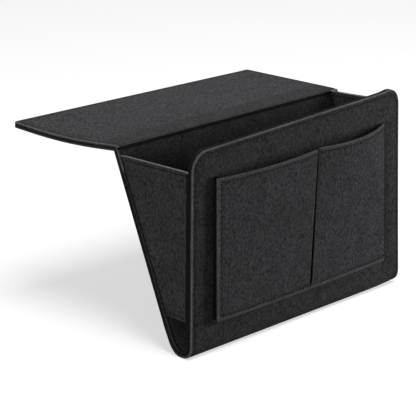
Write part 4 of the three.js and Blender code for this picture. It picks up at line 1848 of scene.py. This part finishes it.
@dataclass
class Studio:
    """The pale floor, the soft lights and the camera, in metres."""

    floor: float = -0.1921
    floor_size: float = 12.0
    # What the floor throws back at the caddy, what the camera sees of it, and the light that it adds for the camera
    floor_bounce: float = 0.08
    floor_seen: float = 0.58
    floor_glow: float = 0.65
    sky_light: float = 0.1
    lens: float = 181.73
    sensor: float = 36.0
    sight: float = 20.0
    spot: tuple[float, float, float] = (-1.522168, -1.512695, 0.597350)
    right: tuple[float, float, float] = (0.69673617, -0.7172726, 0.00887283)
    up: tuple[float, float, float] = (0.21910545, 0.22457776, 0.94950389)
    forward: tuple[float, float, float] = (0.68304576, 0.65960962, -0.31362978)
    aim: tuple[float, float, float] = (0.0, -0.1, -0.1)
    lamps: tuple[Lamp, ...] = (
        Lamp("key", (0.6, 1.7, 1.9), 1.3, 33.5, Lit.CADDY),
        Lamp("front_fill", (0.78, -0.8, 0.12), 0.5, 3.9, Lit.CADDY),
        Lamp("left_fill", (-2.2, -0.6, 0.25), 1.0, 12.8, Lit.CADDY),
        Lamp("floor_wash", (-0.1, -0.85, 2.1), 1.5, 55, Lit.FLOOR),
    )

    def camera(self) -> None:
        """Makes the camera."""
        data = bpy.data.cameras.new("camera")
        data.lens = self.lens
        data.sensor_width = self.sensor
        data.clip_end = self.sight
        camera = bpy.data.objects.new("camera", data)
        columns = (Vector(self.right), Vector(self.up), -Vector(self.forward), Vector(self.spot))
        camera.matrix_world = Matrix([[column[row] for column in columns] for row in range(3)] + [[0, 0, 0, 1]])
        bpy.context.scene.collection.objects.link(camera)
        bpy.context.scene.camera = camera

    def light(self, lamp: Lamp) -> None:
        """Hangs up a lamp that faces the caddy.

        Args:
            lamp: The lamp. The floor is its only named receiver: a lamp that leaves it out lights all the rest.
        """
        data = bpy.data.lights.new(lamp.name, "AREA")
        data.shape = "SQUARE"
        data.size = lamp.size
        data.energy = lamp.power
        light = bpy.data.objects.new(lamp.name, data)
        spot = Vector(lamp.spot)
        turn = (Vector(self.aim) - spot).to_track_quat("-Z", "Y").to_matrix().to_4x4()
        light.matrix_world = Matrix.Translation(spot) @ turn
        bpy.context.scene.collection.objects.link(light)
        receivers = bpy.data.collections.new(f"{lamp.name}_receivers")
        receivers.objects.link(bpy.data.objects["floor"])
        light.light_linking.receiver_collection = receivers
        receivers.collection_objects[0].light_linking.link_state = lamp.onto.value

    def white_floor(self) -> None:
        """Makes the pale floor, a matt white board that keeps the caddy's shadow and looks white to the camera."""
        deselect()
        bpy.ops.mesh.primitive_plane_add(size=self.floor_size, location=(0, 0, self.floor))
        floor = bpy.context.active_object
        floor.name = "floor"
        material = bpy.data.materials.new("matt_white_board")
        tree = bare_tree(material)
        seen = add_node(tree, "ShaderNodeLightPath", {}, {}).outputs["Is Camera Ray"]
        bounce, shown = ((grey, grey, grey, 1) for grey in (self.floor_bounce, self.floor_seen))
        greys = {FACTOR: seen, FIRST: bounce, SECOND: shown}
        grey = add_node(tree, "ShaderNodeMix", MIX_COLOURS, greys).outputs[MIXED]
        matt = add_node(tree, "ShaderNodeBsdfDiffuse", {}, {"Color": grey}).outputs[0]
        power = add_node(tree, "ShaderNodeMath", {"operation": "MULTIPLY"}, {0: seen, 1: self.floor_glow}).outputs[0]
        glow = add_node(tree, "ShaderNodeEmission", {}, {"Color": (1, 1, 1, 1), "Strength": power}).outputs[0]
        both = add_node(tree, "ShaderNodeAddShader", {}, {0: matt, 1: glow}).outputs[0]
        add_node(tree, "ShaderNodeOutputMaterial", {}, {"Surface": both})
        floor.data.materials.append(material)

    def sky(self) -> None:
        """Makes the even light from all round, which the camera sees as white."""
        world = bpy.data.worlds.new("soft_sky")
        bpy.context.scene.world = world
        tree = bare_tree(world)
        seen = add_node(tree, "ShaderNodeLightPath", {}, {}).outputs["Is Camera Ray"]
        ends = {0: seen, 1: 0.0, 2: 1.0, 3: self.sky_light, 4: 1.0}
        power = add_node(tree, "ShaderNodeMapRange", {}, ends).outputs[0]
        shine = add_node(tree, "ShaderNodeBackground", {}, {"Color": (1, 1, 1, 1), "Strength": power}).outputs[0]
        add_node(tree, "ShaderNodeOutputWorld", {}, {"Surface": shine})

    def build(self) -> None:
        """Sets up the studio."""
        bpy.context.scene.view_settings.view_transform = "Standard"
        self.camera()
        self.white_floor()
        self.sky()
        for lamp in self.lamps:
            self.light(lamp)


def main() -> None:
    """Builds the caddy and its studio."""
    logging.basicConfig(level=logging.INFO, format="%(message)s")
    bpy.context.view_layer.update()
    band = Band()
    wardrobe = Wardrobe.make()
    stitching = Stitching()
    Studio().build()
    for assembly in (Flap, Crease, Back, Bend, Front, Pockets):
        log.info("%s", assembly.__name__)
        assembly(band, wardrobe, stitching).build()
    for side in Side:
        Gusset(band, wardrobe, stitching, side=side).build()
    deselect()


if __name__ == "__main__":
    main()
